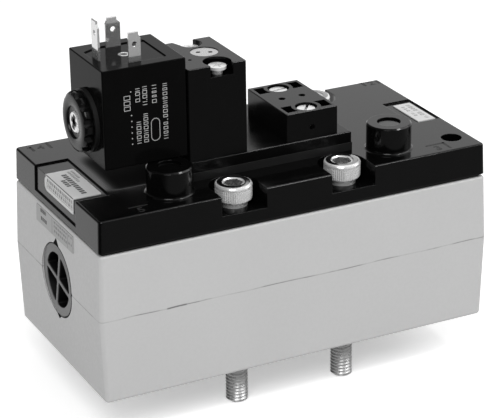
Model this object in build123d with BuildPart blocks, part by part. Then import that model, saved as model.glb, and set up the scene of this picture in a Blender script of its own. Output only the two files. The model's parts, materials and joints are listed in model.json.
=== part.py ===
from build123d import *
import math
import os

os.makedirs("parts", exist_ok=True)

# A solenoid piloted directional control valve that bolts down on its base.
# Millimetres. X runs along the spool, Y away from the front, Z up.
# The origin is the centre of the body's underside.

# Body casting: it tapers up and down from its parting line
body_length = 150.7
body_width = 77.5
body_height = 54.3
parting_height = 30.8
upper_end_draft = 0.038
lower_end_draft = 0.034
upper_side_draft = 0.017
lower_side_draft = 0.009
corner_radius = 1.5
bottom_edge_radius = 1.3
shoulder_radius = 0.8

# Cover and the gasket beneath it
gasket_thickness = 1.1
gasket_inset = 1.2
cover_height = 11.4
cover_edge_radius = 0.8
cover_wall = 3.0
cover_roof = 3.5

# Four mounting screws, held captive in open pockets of the cover
front_screw_offset = 3.0
front_screw_setback = 9.05
rear_screw_offset = 6.6
rear_screw_setback = 6.85
pocket_radius = 8.5
pocket_floor = 4.4
pocket_wall = 2.5
screw_head_diameter = 13.0
screw_head_height = 6.1
screw_head_chamfer = 0.7
screw_collar_diameter = 9.6
screw_collar_height = 2.0
screw_socket_width = 6.0
screw_socket_depth = 4.0
screw_waist_diameter = 7.0
screw_thread_diameter = 8.0
screw_reach = 15.1
screw_tip_chamfer = 0.8
screw_hole_diameter = 9.0
cover_screw_hole_diameter = 8.4
thread_start_gap = 0.2

# Spool, its seals and the ports
port_diameter = 16.0
port_row_inset = 10.4
port_depth = 18.0
port_passage_diameter = 10.0
port_passage_offset = 2.4
land_diameter = 16.0
waist_diameter = 11.0
spigot_diameter = 8.0
land_chamfer = 0.4
spool_travel = 6.0
seal_count = 6
seal_thickness = 3.0
seal_clearance = 0.05
stack_diameter = 24.0
stack_clearance = 0.05
spacer_wall = 2.2
spacer_window = 7.0
spacer_rim = 2.5
ring_width = 1.5
ring_depth = 0.7
ring_reach = 1.5
ring_gap = 4.0
groove_clearance = 0.1
stack_land = 1.7

# Pistons at the spool's ends
piston_diameter = 25.1
piston_length = 5.0
piston_clearance = 0.05
stop_clearance = 0.2
piston_seal_size = 2.0
end_clearance = 0.8

# Round caps in the body's ends
mouth_diameter = 26.4
cap_clearance = 0.2
cap_sink = 0.55
cap_seat_depth = 10.0
cap_nose_length = 3.0
cap_nose_clearance = 1.1
cap_rib_height = 0.55
cap_rib_width = 1.4
cap_rib_inset = 3.0
cap_seal_size = 1.7
cap_seal_inset = 1.4
cap_pocket_radius = 10.0
cap_pocket_depth = 7.0
cap_spoke = 1.25
cap_spoke_turn = -14.0
cap_pocket_corner = 0.8
return_spring_wire = 1.0
return_spring_radius = 5.2
return_spring_turns = 3.0
spring_seat_depth = 4.0
spring_seat_clearance = 0.5

# Air passages
passage_diameter = 2.4
supply_passage_offset = 6.0
duct_height = 4.0
duct_width = 7.0
jet_passage_diameter = 2.0

# Gasket on the underside
base_recess_margin = 17.0
base_recess_setback = 15.35
base_recess_depth = 1.5
base_recess_corner = 4.0
port_island_wall = 1.6
base_gasket_clearance = 0.2

# Manual override bosses and their buttons
boss_offset = 6.4
boss_setback = 13.95
boss_diameter = 16.0
boss_height = 9.6
boss_edge = 0.5
boss_foot_radius = 0.9
button_diameter = 8.2
button_clearance = 0.1
button_sink = 0.7
button_travel = 2.5
button_flange_diameter = 10.8
button_flange_thickness = 1.6
button_flange_clearance = 0.2
button_stem_diameter = 4.0
button_stem_clearance = 0.5
button_seal_size = 1.6
button_seal_height = 2.6
button_spring_wire = 0.6
button_spring_radius = 3.2
button_spring_turns = 4.0

# Open corner hole of the cover
corner_hole_end_setback = 8.75
corner_hole_side_setback = 11.15
corner_hole_diameter = 7.5

# Rail under the pilot: a seal plate and a base plate
rail_left_gap = 0.8
rail_right_gap = 4.9
rail_setback = 17.85
rail_width = 30.9
seal_plate_thickness = 3.0
seal_plate_ledge = 0.25
base_plate_thickness = 4.0
rail_edge = 0.3

# Blanking plate beside the pilot
blank_end_gap = 5.3
blank_front_gap = 0.3
blank_length = 20.0
blank_width = 30.2
blank_height = 10.5
blank_edge = 0.4
blank_screw_inset = 4.6
blank_screw_diameter = 4.0
blank_screw_head = 6.4
blank_screw_sink = 0.7
blank_screw_head_height = 2.2
blank_bore = 7.8
blank_slot_width = 1.0
blank_slot_depth = 1.0
blank_slot_turn_front = 52.0
blank_slot_turn_rear = 8.0
blank_pocket_offset = 7.2
blank_pocket_width = 2.9
blank_pocket_length = 5.8
blank_pocket_depth = 6.0
blank_pocket_arc = 5.2
blank_pin_hole_spread = 7.9
blank_pin_hole_diameter = 2.5
blank_pin_hole_depth = 8.0
blank_front_hole_height = 4.3
blank_front_hole_diameter = 2.0
blank_front_hole_depth = 5.0

# Pilot body
pilot_end_gap = 0.6
pilot_length = 21.9
pilot_width = 28.6
pilot_height = 33.2
pilot_edge = 0.5
pilot_screw_inset = 12.7
pilot_screw_front_inset = 3.7
pilot_screw_rear_inset = 3.9
pilot_screw_diameter = 3.0
pilot_screw_head = 6.3
pilot_screw_head_height = 1.0
pilot_screw_shoulder = 3.8
pilot_screw_sink = 1.4
pilot_screw_cross = 0.9
pilot_screw_cross_length = 3.6
pilot_screw_cross_depth = 0.7
pilot_screw_cross_turn = 12.0
screw_hole_clearance = 0.2
threaded_clearance = 0.05
small_screw_tip = 2.6
screw_column_radius = 3.6
screw_column_floor = 1.0
notch_depth = 4.1
front_notch_radius = 4.9
front_notch_half_width = 4.25
rear_notch_radius = 4.0
rear_notch_flare = 1.5
dot_inset = 5.1
dot_front_inset = 9.1
dot_diameter = 1.3
dot_depth = 1.5

# Adjusting plug in the pilot's top
plug_inset = 13.2
plug_front_inset = 14.8
plug_diameter = 9.6
plug_sink = 0.2
plug_thickness = 3.0
plug_clearance = 0.05
plug_seal_size = 1.0
plug_pin_spread = 4.2
plug_pin_diameter = 1.6
plug_pin_depth = 1.5
plug_pin_turn = -25.0
plug_well_diameter = 6.0

# Coil, its tube and plunger lie on one line along X
coil_length = 30.4
coil_gap = 0.3
coil_front_gap = 0.4
coil_width = 28.4
coil_axis_rise = 16.4
coil_drop = 13.6
coil_rise = 21.3
coil_corner = 0.6
coil_edge = 0.4
coil_recess_left = 2.4
coil_recess_right = 4.9
coil_recess_front = 4.2
coil_recess_depth = 0.4
coil_recess_corner = 1.2
coil_recess_cut = 6.0
tube_diameter = 10.0
tube_wall = 0.6
tube_clearance = 0.1
tube_flange_diameter = 16.0
tube_flange_thickness = 2.4
flange_clearance = 0.2
tube_seal_size = 1.0
plunger_diameter = 8.6
plunger_travel = 1.2
pole_length = 13.7
pole_shoulder = 1.8
plunger_spring_wire = 0.5
plunger_spring_radius = 1.6
plunger_spring_turns = 7.0
plunger_spring_well = 2.3
pole_spring_depth = 3.0
plunger_spring_depth = 6.0
seat_gap = 0.1
chamber_length = 2.4
chamber_diameter = 10.8
seat_diameter = 6.0
seat_length = 6.4
seat_stand = 1.2
supply_inset = 4.4
seat_orifice = 1.2
seal_pad_diameter = 4.8
seal_pad_thickness = 2.0
frame_plate = 1.8
frame_wall = 1.0
frame_half_width = 12.7
frame_clearance = 0.1
bobbin_flange = 1.4
bobbin_tube_wall = 1.1
bobbin_radius = 10.8
winding_radius = 10.4

# Nut and seal ring on the tube's outer end
seal_ring_thickness = 1.5
seal_ring_diameter = 22.0
nut_thickness = 3.8
nut_diameter = 21.0
nut_flutes = 12
nut_flute_radius = 1.5
nut_flute_depth = 0.9
nut_edge = 0.6
nut_face_groove_outer = 5.6
nut_face_groove_depth = 0.8
stem_diameter = 7.6
stem_length = 4.9
stem_slot_width = 1.2
stem_slot_length = 5.0
stem_slot_depth = 1.2
stem_clearance = 0.1

# Plug-in terminals and the threaded insert between them
blade_thickness = 0.8
contact_inset = 14.1
contact_spread = 18.0
front_contact_width = 4.4
rear_contact_width = 5.4
contact_reach = 10.2
ground_inset = 4.2
ground_width = 5.1
ground_reach = 13.1
blade_depth = 6.0
blade_tip_width = 3.6
contact_tip_shift = -0.35
ground_tip_shift = 0.5
blade_taper = 2.3
blade_hole_diameter = 1.8
blade_hole_drop = 4.3
blade_edge = 0.25
blade_slot_clearance = 0.05
insert_diameter = 4.0
insert_bore = 2.5
insert_depth = 6.4
insert_bore_depth = 5.2

# Labels
type_label_recess = 0.6
type_label_thickness = 0.35
type_recess_front = -18.0
type_recess_back = 19.2
type_recess_top_reach = 12.5
type_recess_drop = 9.3
type_label_front = -15.0
type_label_back = 10.0
type_label_top_reach = 10.5
type_label_drop = 5.6
flow_recess_setback = 13.35
flow_recess_end_wall = 0.4
flow_recess_front = -9.0
flow_recess_back = 13.5
flow_label_setback = 3.35
flow_label_length = 7.0
flow_label_front = -7.7
flow_label_back = 10.7
rating_label_front = -15.9
rating_label_back = 17.3
rating_label_low = 47.1
rating_label_high = 53.3
rating_label_thickness = 0.3

# Levels that follow from the sizes above
cover_bottom = body_height + gasket_thickness
cover_top = cover_bottom + cover_height
roof_underside = cover_top - cover_roof
pocket_level = cover_bottom + pocket_floor
duct_level = cover_bottom + duct_height
seal_plate_top = cover_top + seal_plate_thickness
rail_top = seal_plate_top + base_plate_thickness
blank_top = rail_top + blank_height
pilot_top = rail_top + pilot_height
small_screw_end = cover_bottom + small_screw_tip
spool_height = parting_height
coil_axis_height = rail_top + coil_axis_rise
coil_bottom = coil_axis_height - coil_drop
coil_top = coil_axis_height + coil_rise
blade_root = coil_top - blade_depth
contact_tip = coil_top + contact_reach
ground_tip = coil_top + ground_reach

# Places along the spool, from the body's end inwards
cap_face_x = body_length / 2 - cap_sink
cap_seat_x = cap_face_x - cap_seat_depth
cap_nose_x = cap_seat_x - cap_nose_length
passage_x = cap_nose_x + cap_nose_length / 2
spool_half = cap_nose_x - end_clearance - spool_travel / 2 - piston_length
shoulder_x = spool_half - spool_travel / 2 - stop_clearance
ring_groove_end = shoulder_x - stack_land
stack_half = ring_groove_end - groove_clearance - ring_width
port_pitch = (2 * stack_half - seal_thickness) / (seal_count - 1)
rest_shift = -spool_travel / 2
piston_bore_radius = piston_diameter / 2 + piston_clearance

# Places of the ports, the gasket's recess and the screws
base_recess_length = 4 * port_pitch + 2 * base_recess_margin
base_recess_width = body_width - 2 * base_recess_setback
port_row = base_recess_width / 2 - port_row_inset
port_passage_row = port_row - port_passage_offset
supply_passage_y = port_row + supply_passage_offset
rear_ports = [-2 * port_pitch, 0, 2 * port_pitch]
front_ports = [-port_pitch, port_pitch]
port_places = [(x, port_row) for x in rear_ports] + [(x, -port_row) for x in front_ports]
front_screw_x = port_pitch + front_screw_offset
front_screw_y = front_screw_setback - body_width / 2
rear_screw_x = 2 * port_pitch + rear_screw_offset
rear_screw_y = body_width / 2 - rear_screw_setback
screw_places = [
    (-front_screw_x, front_screw_y),
    (front_screw_x, front_screw_y),
    (-rear_screw_x, rear_screw_y),
    (rear_screw_x, rear_screw_y),
]
tower_radius = pocket_radius + pocket_wall

# Places on the cover
boss_x = 2 * port_pitch + boss_offset
boss_y = boss_setback - body_width / 2
corner_hole_x = body_length / 2 - corner_hole_end_setback
corner_hole_y = corner_hole_side_setback - body_width / 2
rail_left = rail_left_gap + boss_diameter / 2 - boss_x
rail_right = boss_x - boss_diameter / 2 - rail_right_gap
rail_front = rail_setback - body_width / 2
rail_back = rail_front + rail_width
flow_recess_left = body_length / 2 - flow_recess_setback
flow_label_right = body_length / 2 - flow_label_setback
flow_label_left = flow_label_right - flow_label_length

# Places on the rail
blank_right = rail_right - blank_end_gap
blank_left = blank_right - blank_length
blank_front = rail_front + blank_front_gap
blank_back = blank_front + blank_width
blank_screw_x = (blank_left + blank_right) / 2
blank_screw_places = [
    (blank_screw_x, blank_front + blank_screw_inset),
    (blank_screw_x, blank_back - blank_screw_inset),
]
pilot_left = rail_left + pilot_end_gap
pilot_right = pilot_left + pilot_length
pilot_front = rail_front
pilot_back = pilot_front + pilot_width
pilot_screw_x = pilot_left + pilot_screw_inset
pilot_screw_front_y = pilot_front + pilot_screw_front_inset
pilot_screw_rear_y = pilot_back - pilot_screw_rear_inset
pilot_screw_places = [(pilot_screw_x, pilot_screw_front_y), (pilot_screw_x, pilot_screw_rear_y)]
plug_x = pilot_left + plug_inset
plug_y = pilot_front + plug_front_inset
dot_x = pilot_left + dot_inset
dot_y = pilot_front + dot_front_inset
supply_x = pilot_right - supply_inset

# Places along the coil, its tube and the nozzle seat
coil_right = pilot_left - coil_gap
coil_left = coil_right - coil_length
coil_front = rail_front + coil_front_gap
coil_back = coil_front + coil_width
coil_axis_y = (coil_front + coil_back) / 2
contact_x = coil_left + contact_inset
ground_x = coil_left + ground_inset
flange_right = pilot_left + tube_flange_thickness
chamber_left = flange_right + flange_clearance
chamber_right = chamber_left + chamber_length
outlet_x = chamber_right - jet_passage_diameter / 2
seat_left = chamber_right - seat_stand
seat_right = seat_left + seat_length

sides = [("left", -1), ("right", 1)]
radius_tolerance = 0.01


def half_length(height):
    """Half the length of body or cover at a height, from the drafts of the ends."""
    draft = upper_end_draft if height > parting_height else lower_end_draft
    return body_length / 2 - draft * abs(height - parting_height)


def half_width(height):
    """Half the width of body or cover at a height, from the drafts of the sides."""
    draft = upper_side_draft if height > parting_height else lower_side_draft
    return body_width / 2 - draft * abs(height - parting_height)


def turn_along(points, centre_y, centre_z, mode=Mode.ADD):
    """Turn an outline of (x, radius) points about the line along X through this Y and Z."""
    plane = Plane(origin=(0, centre_y, centre_z), x_dir=(1, 0, 0), z_dir=(0, -1, 0))
    with BuildSketch(plane) as outline:
        with BuildLine():
            Polyline(points, close=True)
        make_face()
    revolve(outline.sketch, axis=Axis(plane.origin, (1, 0, 0)), mode=mode)


def turn_upright(points, centre_x, centre_y, mode=Mode.ADD):
    """Turn an outline of (radius, z) points about the vertical through this X and Y."""
    plane = Plane(origin=(centre_x, centre_y, 0), x_dir=(1, 0, 0), z_dir=(0, -1, 0))
    with BuildSketch(plane) as outline:
        with BuildLine():
            Polyline(points, close=True)
        make_face()
    revolve(outline.sketch, axis=Axis(plane.origin, (0, 0, 1)), mode=mode)


def ring_along(x, centre_y, centre_z, ring_radius, section_radius):
    """A round-section ring about the line along X."""
    plane = Plane(origin=(0, centre_y, centre_z), x_dir=(1, 0, 0), z_dir=(0, -1, 0))
    with BuildSketch(plane) as section:
        with Locations((x, ring_radius)):
            Circle(section_radius)
    revolve(section.sketch, axis=Axis(plane.origin, (1, 0, 0)))


def ring_upright(centre_x, centre_y, z, ring_radius, section_radius):
    """A round-section ring about a vertical."""
    plane = Plane(origin=(centre_x, centre_y, 0), x_dir=(1, 0, 0), z_dir=(0, -1, 0))
    with BuildSketch(plane) as section:
        with Locations((ring_radius, z)):
            Circle(section_radius)
    revolve(section.sketch, axis=Axis(plane.origin, (0, 0, 1)))


def upright_cylinder(x, y, low, high, radius, mode=Mode.SUBTRACT):
    """A vertical cylinder between two heights."""
    with BuildSketch(Plane.XY.offset(low)) as outline:
        with Locations((x, y)):
            Circle(radius)
    extrude(outline.sketch, amount=high - low, mode=mode)


def block(left, right, front, back, low, high, mode=Mode.ADD):
    """A box between two corners."""
    with BuildSketch(Plane.XY.offset(low)) as outline:
        with Locations(((left + right) / 2, (front + back) / 2)):
            Rectangle(right - left, back - front)
    extrude(outline.sketch, amount=high - low, mode=mode)


def coil_spring(start, direction, length, radius, wire, turns):
    """A helix of round wire that fills a length between two seats."""
    start = Vector(*start) + Vector(*direction) * (wire / 2)
    rise = length - wire
    with BuildLine() as path:
        Helix(pitch=rise / turns, height=rise, radius=radius, center=start, direction=direction)
    with BuildSketch(Plane(origin=path.line @ 0, z_dir=path.line % 0)) as section:
        Circle(wire / 2)
    sweep(section.sketch, path=path.line, is_frenet=True)


def cavity_plan(height):
    """The cover's hollow seen from above: inside its walls, clear of screw towers and ducts."""
    with BuildSketch(Plane.XY.offset(height)) as plan:
        RectangleRounded(
            2 * (half_length(cover_top) - cover_wall),
            2 * (half_width(cover_top) - cover_wall),
            corner_radius,
        )
        for x, y in screw_places:
            reach = math.copysign(body_width / 2, y)
            with Locations((x, y)):
                Circle(tower_radius, mode=Mode.SUBTRACT)
            with Locations((x, y + reach / 2)):
                Rectangle(2 * tower_radius, abs(reach), mode=Mode.SUBTRACT)
        duct_end = outlet_x + duct_width / 2
        with Locations(((duct_end - body_length / 2) / 2, 0)):
            Rectangle(duct_end + body_length / 2, duct_width, mode=Mode.SUBTRACT)
        duct_front = coil_axis_y - duct_width / 2
        with Locations((0, (duct_front + body_width / 2) / 2)):
            Rectangle(duct_width, body_width / 2 - duct_front, mode=Mode.SUBTRACT)
    return plan.sketch


flow_recess_right = half_length(cover_top) - flow_recess_end_wall

# Body: one casting with the spool bore, the ports and the screw holes
with BuildPart() as valve_body:
    for height in (0, parting_height, body_height):
        with BuildSketch(Plane.XY.offset(height)):
            RectangleRounded(2 * half_length(height), 2 * half_width(height), corner_radius)
    loft(ruled=True)
    fillet(valve_body.edges().group_by(Axis.Z)[0], bottom_edge_radius)
    fillet(valve_body.edges().group_by(Axis.Z)[-1], shoulder_radius)

    bore_outline = [
        (0, 0),
        (0, stack_diameter / 2),
        (stack_half, stack_diameter / 2),
        (stack_half, stack_diameter / 2 + ring_depth + groove_clearance),
        (ring_groove_end, stack_diameter / 2 + ring_depth + groove_clearance),
        (ring_groove_end, stack_diameter / 2),
        (shoulder_x, stack_diameter / 2),
        (shoulder_x, piston_bore_radius),
        (cap_seat_x, piston_bore_radius),
        (cap_seat_x, mouth_diameter / 2),
        (cap_face_x - cap_rib_inset - cap_rib_width - groove_clearance, mouth_diameter / 2),
        (
            cap_face_x - cap_rib_inset - cap_rib_width - groove_clearance,
            mouth_diameter / 2 + cap_rib_height + groove_clearance,
        ),
        (
            cap_face_x - cap_rib_inset + groove_clearance,
            mouth_diameter / 2 + cap_rib_height + groove_clearance,
        ),
        (cap_face_x - cap_rib_inset + groove_clearance, mouth_diameter / 2),
        (body_length, mouth_diameter / 2),
        (body_length, 0),
    ]
    turn_along(bore_outline, 0, spool_height, Mode.SUBTRACT)
    mirrored_outline = [(-x, radius) for x, radius in bore_outline]
    turn_along(mirrored_outline, 0, spool_height, Mode.SUBTRACT)

    with BuildSketch() as recess:
        RectangleRounded(base_recess_length, base_recess_width, base_recess_corner)
        with Locations(port_places):
            Circle(port_diameter / 2 + port_island_wall, mode=Mode.SUBTRACT)
    extrude(recess.sketch, amount=base_recess_depth, mode=Mode.SUBTRACT)

    for x, y in port_places:
        passage_y = math.copysign(port_passage_row, y)
        upright_cylinder(x, y, 0, port_depth, port_diameter / 2)
        upright_cylinder(x, passage_y, port_depth, spool_height, port_passage_diameter / 2)
    for x, y in screw_places:
        upright_cylinder(x, y, 0, body_height, screw_hole_diameter / 2)
    for side, sign in sides:
        chamber = spool_height - piston_bore_radius + cap_nose_clearance
        upright_cylinder(sign * passage_x, 0, 0, chamber, passage_diameter / 2)
        chamber = spool_height + piston_bore_radius - cap_nose_clearance
        upright_cylinder(sign * passage_x, 0, chamber, body_height, passage_diameter / 2)
    upright_cylinder(0, supply_passage_y, port_depth, body_height, passage_diameter / 2)
valve_body.part.label = "valve_body"
export_step(valve_body.part, "parts/valve_body.step")

# Gasket on the underside, flush with it
with BuildPart() as base_gasket:
    with BuildSketch():
        RectangleRounded(
            base_recess_length - 2 * base_gasket_clearance,
            base_recess_width - 2 * base_gasket_clearance,
            base_recess_corner - base_gasket_clearance,
        )
        with Locations(port_places):
            Circle(
                port_diameter / 2 + port_island_wall + base_gasket_clearance, mode=Mode.SUBTRACT
            )
    extrude(amount=base_recess_depth)
base_gasket.part.label = "base_gasket"
export_step(base_gasket.part, "parts/base_gasket.step")

# Gasket between body and cover
with BuildPart() as cover_gasket:
    with BuildSketch(Plane.XY.offset(body_height)) as gasket_outline:
        RectangleRounded(
            2 * (half_length(body_height) - gasket_inset),
            2 * (half_width(body_height) - gasket_inset),
            corner_radius,
        )
        add(cavity_plan(0), mode=Mode.SUBTRACT)
        with Locations(screw_places):
            Circle(screw_hole_diameter / 2, mode=Mode.SUBTRACT)
        with Locations((-passage_x, 0), (0, supply_passage_y)):
            Circle(passage_diameter / 2, mode=Mode.SUBTRACT)
    extrude(amount=gasket_thickness)
cover_gasket.part.label = "cover_gasket"
export_step(cover_gasket.part, "parts/cover_gasket.step")

# Cover: a hollow moulding with open screw pockets and two override bosses
with BuildPart() as cover:
    for height in (cover_bottom, cover_top):
        with BuildSketch(Plane.XY.offset(height)):
            RectangleRounded(2 * half_length(height), 2 * half_width(height), corner_radius)
    loft(ruled=True)
    fillet(cover.edges().group_by(Axis.Z)[-1], cover_edge_radius)
    for side, sign in sides:
        upright_cylinder(
            sign * boss_x, boss_y, cover_top, cover_top + boss_height, boss_diameter / 2, Mode.ADD
        )
    foot_edges = cover.edges().filter_by(GeomType.CIRCLE)
    foot_edges = foot_edges.filter_by(
        lambda edge: abs(edge.radius - boss_diameter / 2) < radius_tolerance
    )
    fillet(foot_edges.group_by(Axis.Z)[0], boss_foot_radius)
    rim_edges = cover.edges().filter_by(GeomType.CIRCLE)
    rim_edges = rim_edges.filter_by(
        lambda edge: abs(edge.radius - boss_diameter / 2) < radius_tolerance
    )
    chamfer(rim_edges.group_by(Axis.Z)[-1], boss_edge)

    extrude(cavity_plan(cover_bottom), amount=roof_underside - cover_bottom, mode=Mode.SUBTRACT)
    for x, y in screw_places:
        reach = math.copysign(body_width / 2, y)
        with BuildSketch(Plane.XY.offset(pocket_level)) as pocket:
            with Locations((x, y)):
                Circle(pocket_radius)
            with Locations((x, y + reach / 2)):
                Rectangle(2 * pocket_radius, abs(reach))
        extrude(pocket.sketch, amount=cover_height, mode=Mode.SUBTRACT)
        upright_cylinder(x, y, cover_bottom, pocket_level, cover_screw_hole_diameter / 2)
    for side, sign in sides:
        upright_cylinder(
            sign * boss_x,
            boss_y,
            roof_underside,
            cover_top + boss_height,
            button_diameter / 2 + button_clearance,
        )
    upright_cylinder(
        corner_hole_x, corner_hole_y, roof_underside, cover_top, corner_hole_diameter / 2
    )
    # Columns that take the small screws' threads
    for places, diameter in (
        (pilot_screw_places, pilot_screw_diameter),
        (blank_screw_places, blank_screw_diameter),
    ):
        for x, y in places:
            low = small_screw_end - screw_column_floor
            upright_cylinder(x, y, low, roof_underside, screw_column_radius, Mode.ADD)
            upright_cylinder(
                x, y, small_screw_end, cover_top, diameter / 2 + threaded_clearance
            )
    # Ducts from the body's passages to the pilot
    upright_cylinder(-passage_x, 0, cover_bottom, duct_level, passage_diameter / 2)
    with BuildSketch(Plane(origin=(-passage_x, 0, duct_level), z_dir=(1, 0, 0))) as duct:
        Circle(passage_diameter / 2)
    extrude(duct.sketch, amount=outlet_x + passage_x, mode=Mode.SUBTRACT)
    upright_cylinder(outlet_x, 0, duct_level, cover_top, jet_passage_diameter / 2)
    upright_cylinder(0, supply_passage_y, cover_bottom, duct_level, passage_diameter / 2)
    with BuildSketch(Plane(origin=(0, supply_passage_y, duct_level), z_dir=(0, -1, 0))) as duct:
        Circle(passage_diameter / 2)
    extrude(duct.sketch, amount=supply_passage_y - coil_axis_y, mode=Mode.SUBTRACT)
    upright_cylinder(0, coil_axis_y, duct_level, cover_top, jet_passage_diameter / 2)
    # Sunk field that wraps the left end's upper edge
    drop_level = cover_top - type_recess_drop
    with BuildSketch(Plane.XZ.offset(-type_recess_back)) as wrap:
        with BuildLine():
            Polyline(
                (-body_length, cover_top + cover_height),
                (-body_length, drop_level),
                (-half_length(drop_level) + type_label_recess, drop_level),
                (
                    -half_length(cover_top) + type_label_recess,
                    cover_top - type_label_recess,
                ),
                (-half_length(cover_top) + type_recess_top_reach, cover_top - type_label_recess),
                (-half_length(cover_top) + type_recess_top_reach, cover_top + cover_height),
                close=True,
            )
        make_face()
    extrude(wrap.sketch, amount=type_recess_back - type_recess_front, mode=Mode.SUBTRACT)
    # Sunk field near the right end
    block(
        flow_recess_left,
        flow_recess_right,
        flow_recess_front,
        flow_recess_back,
        cover_top - type_label_recess,
        cover_top,
        Mode.SUBTRACT,
    )
cover.part.label = "cover"
export_step(cover.part, "parts/cover.step")

# Four mounting screws: socket head, collar, waist, and a thread that stands out below
with BuildPart() as mounting_screws:
    collar_top = pocket_level + screw_collar_height
    head_top = collar_top + screw_head_height
    head_radius = screw_head_diameter / 2
    thread_radius = screw_thread_diameter / 2
    for x, y in screw_places:
        turn_upright(
            [
                (0, head_top),
                (head_radius - screw_head_chamfer, head_top),
                (head_radius, head_top - screw_head_chamfer),
                (head_radius, collar_top + screw_head_chamfer),
                (head_radius - screw_head_chamfer, collar_top),
                (screw_collar_diameter / 2, collar_top),
                (screw_collar_diameter / 2, pocket_level),
                (screw_waist_diameter / 2, pocket_level),
                (screw_waist_diameter / 2, -thread_start_gap),
                (thread_radius, -thread_start_gap),
                (thread_radius, screw_tip_chamfer - screw_reach),
                (thread_radius - screw_tip_chamfer, -screw_reach),
                (0, -screw_reach),
            ],
            x,
            y,
        )
        with BuildSketch(Plane.XY.offset(head_top)) as socket:
            with Locations((x, y)):
                RegularPolygon(screw_socket_width / 2, 6, major_radius=False)
        extrude(socket.sketch, amount=-screw_socket_depth, mode=Mode.SUBTRACT)
mounting_screws.part.label = "mounting_screws"
export_step(mounting_screws.part, "parts/mounting_screws.step")

# Spool: three lands between two waists, with a spigot at each end for its piston
with BuildPart() as spool:
    land = land_diameter / 2
    waist = waist_diameter / 2
    spigot = spigot_diameter / 2
    inner_land = port_pitch / 2 + seal_thickness - spool_travel / 2
    outer_land = 1.5 * port_pitch
    half_outline = [
        (inner_land - land_chamfer, land),
        (inner_land, land - land_chamfer),
        (inner_land, waist),
        (outer_land, waist),
        (outer_land, land - land_chamfer),
        (outer_land + land_chamfer, land),
        (spool_half, land),
        (spool_half, spigot),
        (spool_half + piston_length, spigot),
    ]
    right_half = [(x + rest_shift, radius) for x, radius in half_outline]
    left_half = [(-x + rest_shift, radius) for x, radius in reversed(half_outline)]
    ends = [(right_half[-1][0], 0), (left_half[0][0], 0)]
    turn_along(left_half + right_half + ends, 0, spool_height)
spool.part.label = "spool"
export_step(spool.part, "parts/spool.step")

# Pistons that push the spool from either end
for side, sign in sides:
    with BuildPart() as piston:
        inner = rest_shift + sign * spool_half
        outer = inner + sign * piston_length
        middle = (inner + outer) / 2
        groove_half = piston_seal_size / 2 + groove_clearance
        groove_bottom = piston_diameter / 2 - piston_seal_size - groove_clearance
        turn_along(
            [
                (inner, spigot_diameter / 2 + threaded_clearance / 2),
                (inner, piston_diameter / 2),
                (middle - sign * groove_half, piston_diameter / 2),
                (middle - sign * groove_half, groove_bottom),
                (middle + sign * groove_half, groove_bottom),
                (middle + sign * groove_half, piston_diameter / 2),
                (outer, piston_diameter / 2),
                (outer, spigot_diameter / 2 + threaded_clearance / 2),
            ],
            0,
            spool_height,
        )
    piston.part.label = side + "_piston"
    export_step(piston.part, "parts/" + side + "_piston.step")

# Rings in the pistons' grooves
with BuildPart() as piston_seals:
    for side, sign in sides:
        middle = rest_shift + sign * (spool_half + piston_length / 2)
        ring_along(
            middle,
            0,
            spool_height,
            (piston_diameter - piston_seal_size) / 2 - stack_clearance,
            piston_seal_size / 2 - stack_clearance / 2,
        )
piston_seals.part.label = "piston_seals"
export_step(piston_seals.part, "parts/piston_seals.step")

# Six seals round the spool
with BuildPart() as spool_seals:
    for place in range(seal_count):
        middle = (place - (seal_count - 1) / 2) * port_pitch
        inside = land_diameter / 2 + seal_clearance
        outside = stack_diameter / 2 - stack_clearance
        turn_along(
            [
                (middle - seal_thickness / 2, inside),
                (middle - seal_thickness / 2, outside),
                (middle + seal_thickness / 2, outside),
                (middle + seal_thickness / 2, inside),
            ],
            0,
            spool_height,
        )
spool_seals.part.label = "spool_seals"
export_step(spool_seals.part, "parts/spool_seals.step")

# Five windowed cages that keep the seals apart over the ports
with BuildPart() as seal_spacers:
    for place in range(seal_count - 1):
        middle = (place - (seal_count - 2) / 2) * port_pitch
        half = (port_pitch - seal_thickness) / 2
        outside = stack_diameter / 2 - stack_clearance
        turn_along(
            [
                (middle - half, outside - spacer_wall),
                (middle - half, outside),
                (middle + half, outside),
                (middle + half, outside - spacer_wall),
            ],
            0,
            spool_height,
        )
        window = port_pitch - seal_thickness - 2 * spacer_rim
        for angle in (0, 45, 90, 135):
            plane = Plane(
                origin=(middle, 0, spool_height),
                x_dir=(1, 0, 0),
                z_dir=(0, math.cos(math.radians(angle)), math.sin(math.radians(angle))),
            )
            with BuildSketch(plane) as opening:
                Rectangle(window, spacer_window)
            extrude(opening.sketch, amount=stack_diameter, both=True, mode=Mode.SUBTRACT)
seal_spacers.part.label = "seal_spacers"
export_step(seal_spacers.part, "parts/seal_spacers.step")

# Open rings that hold the stack of seals in the bore
with BuildPart() as retaining_rings:
    for side, sign in sides:
        inside = stack_diameter / 2 - ring_reach
        outside = stack_diameter / 2 + ring_depth
        near = sign * (stack_half + groove_clearance / 2)
        far = near + sign * ring_width
        turn_along([(near, inside), (near, outside), (far, outside), (far, inside)], 0, spool_height)
    block(
        -body_length / 2,
        body_length / 2,
        -ring_gap / 2,
        ring_gap / 2,
        spool_height,
        body_height,
        Mode.SUBTRACT,
    )
retaining_rings.part.label = "retaining_rings"
export_step(retaining_rings.part, "parts/retaining_rings.step")

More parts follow.
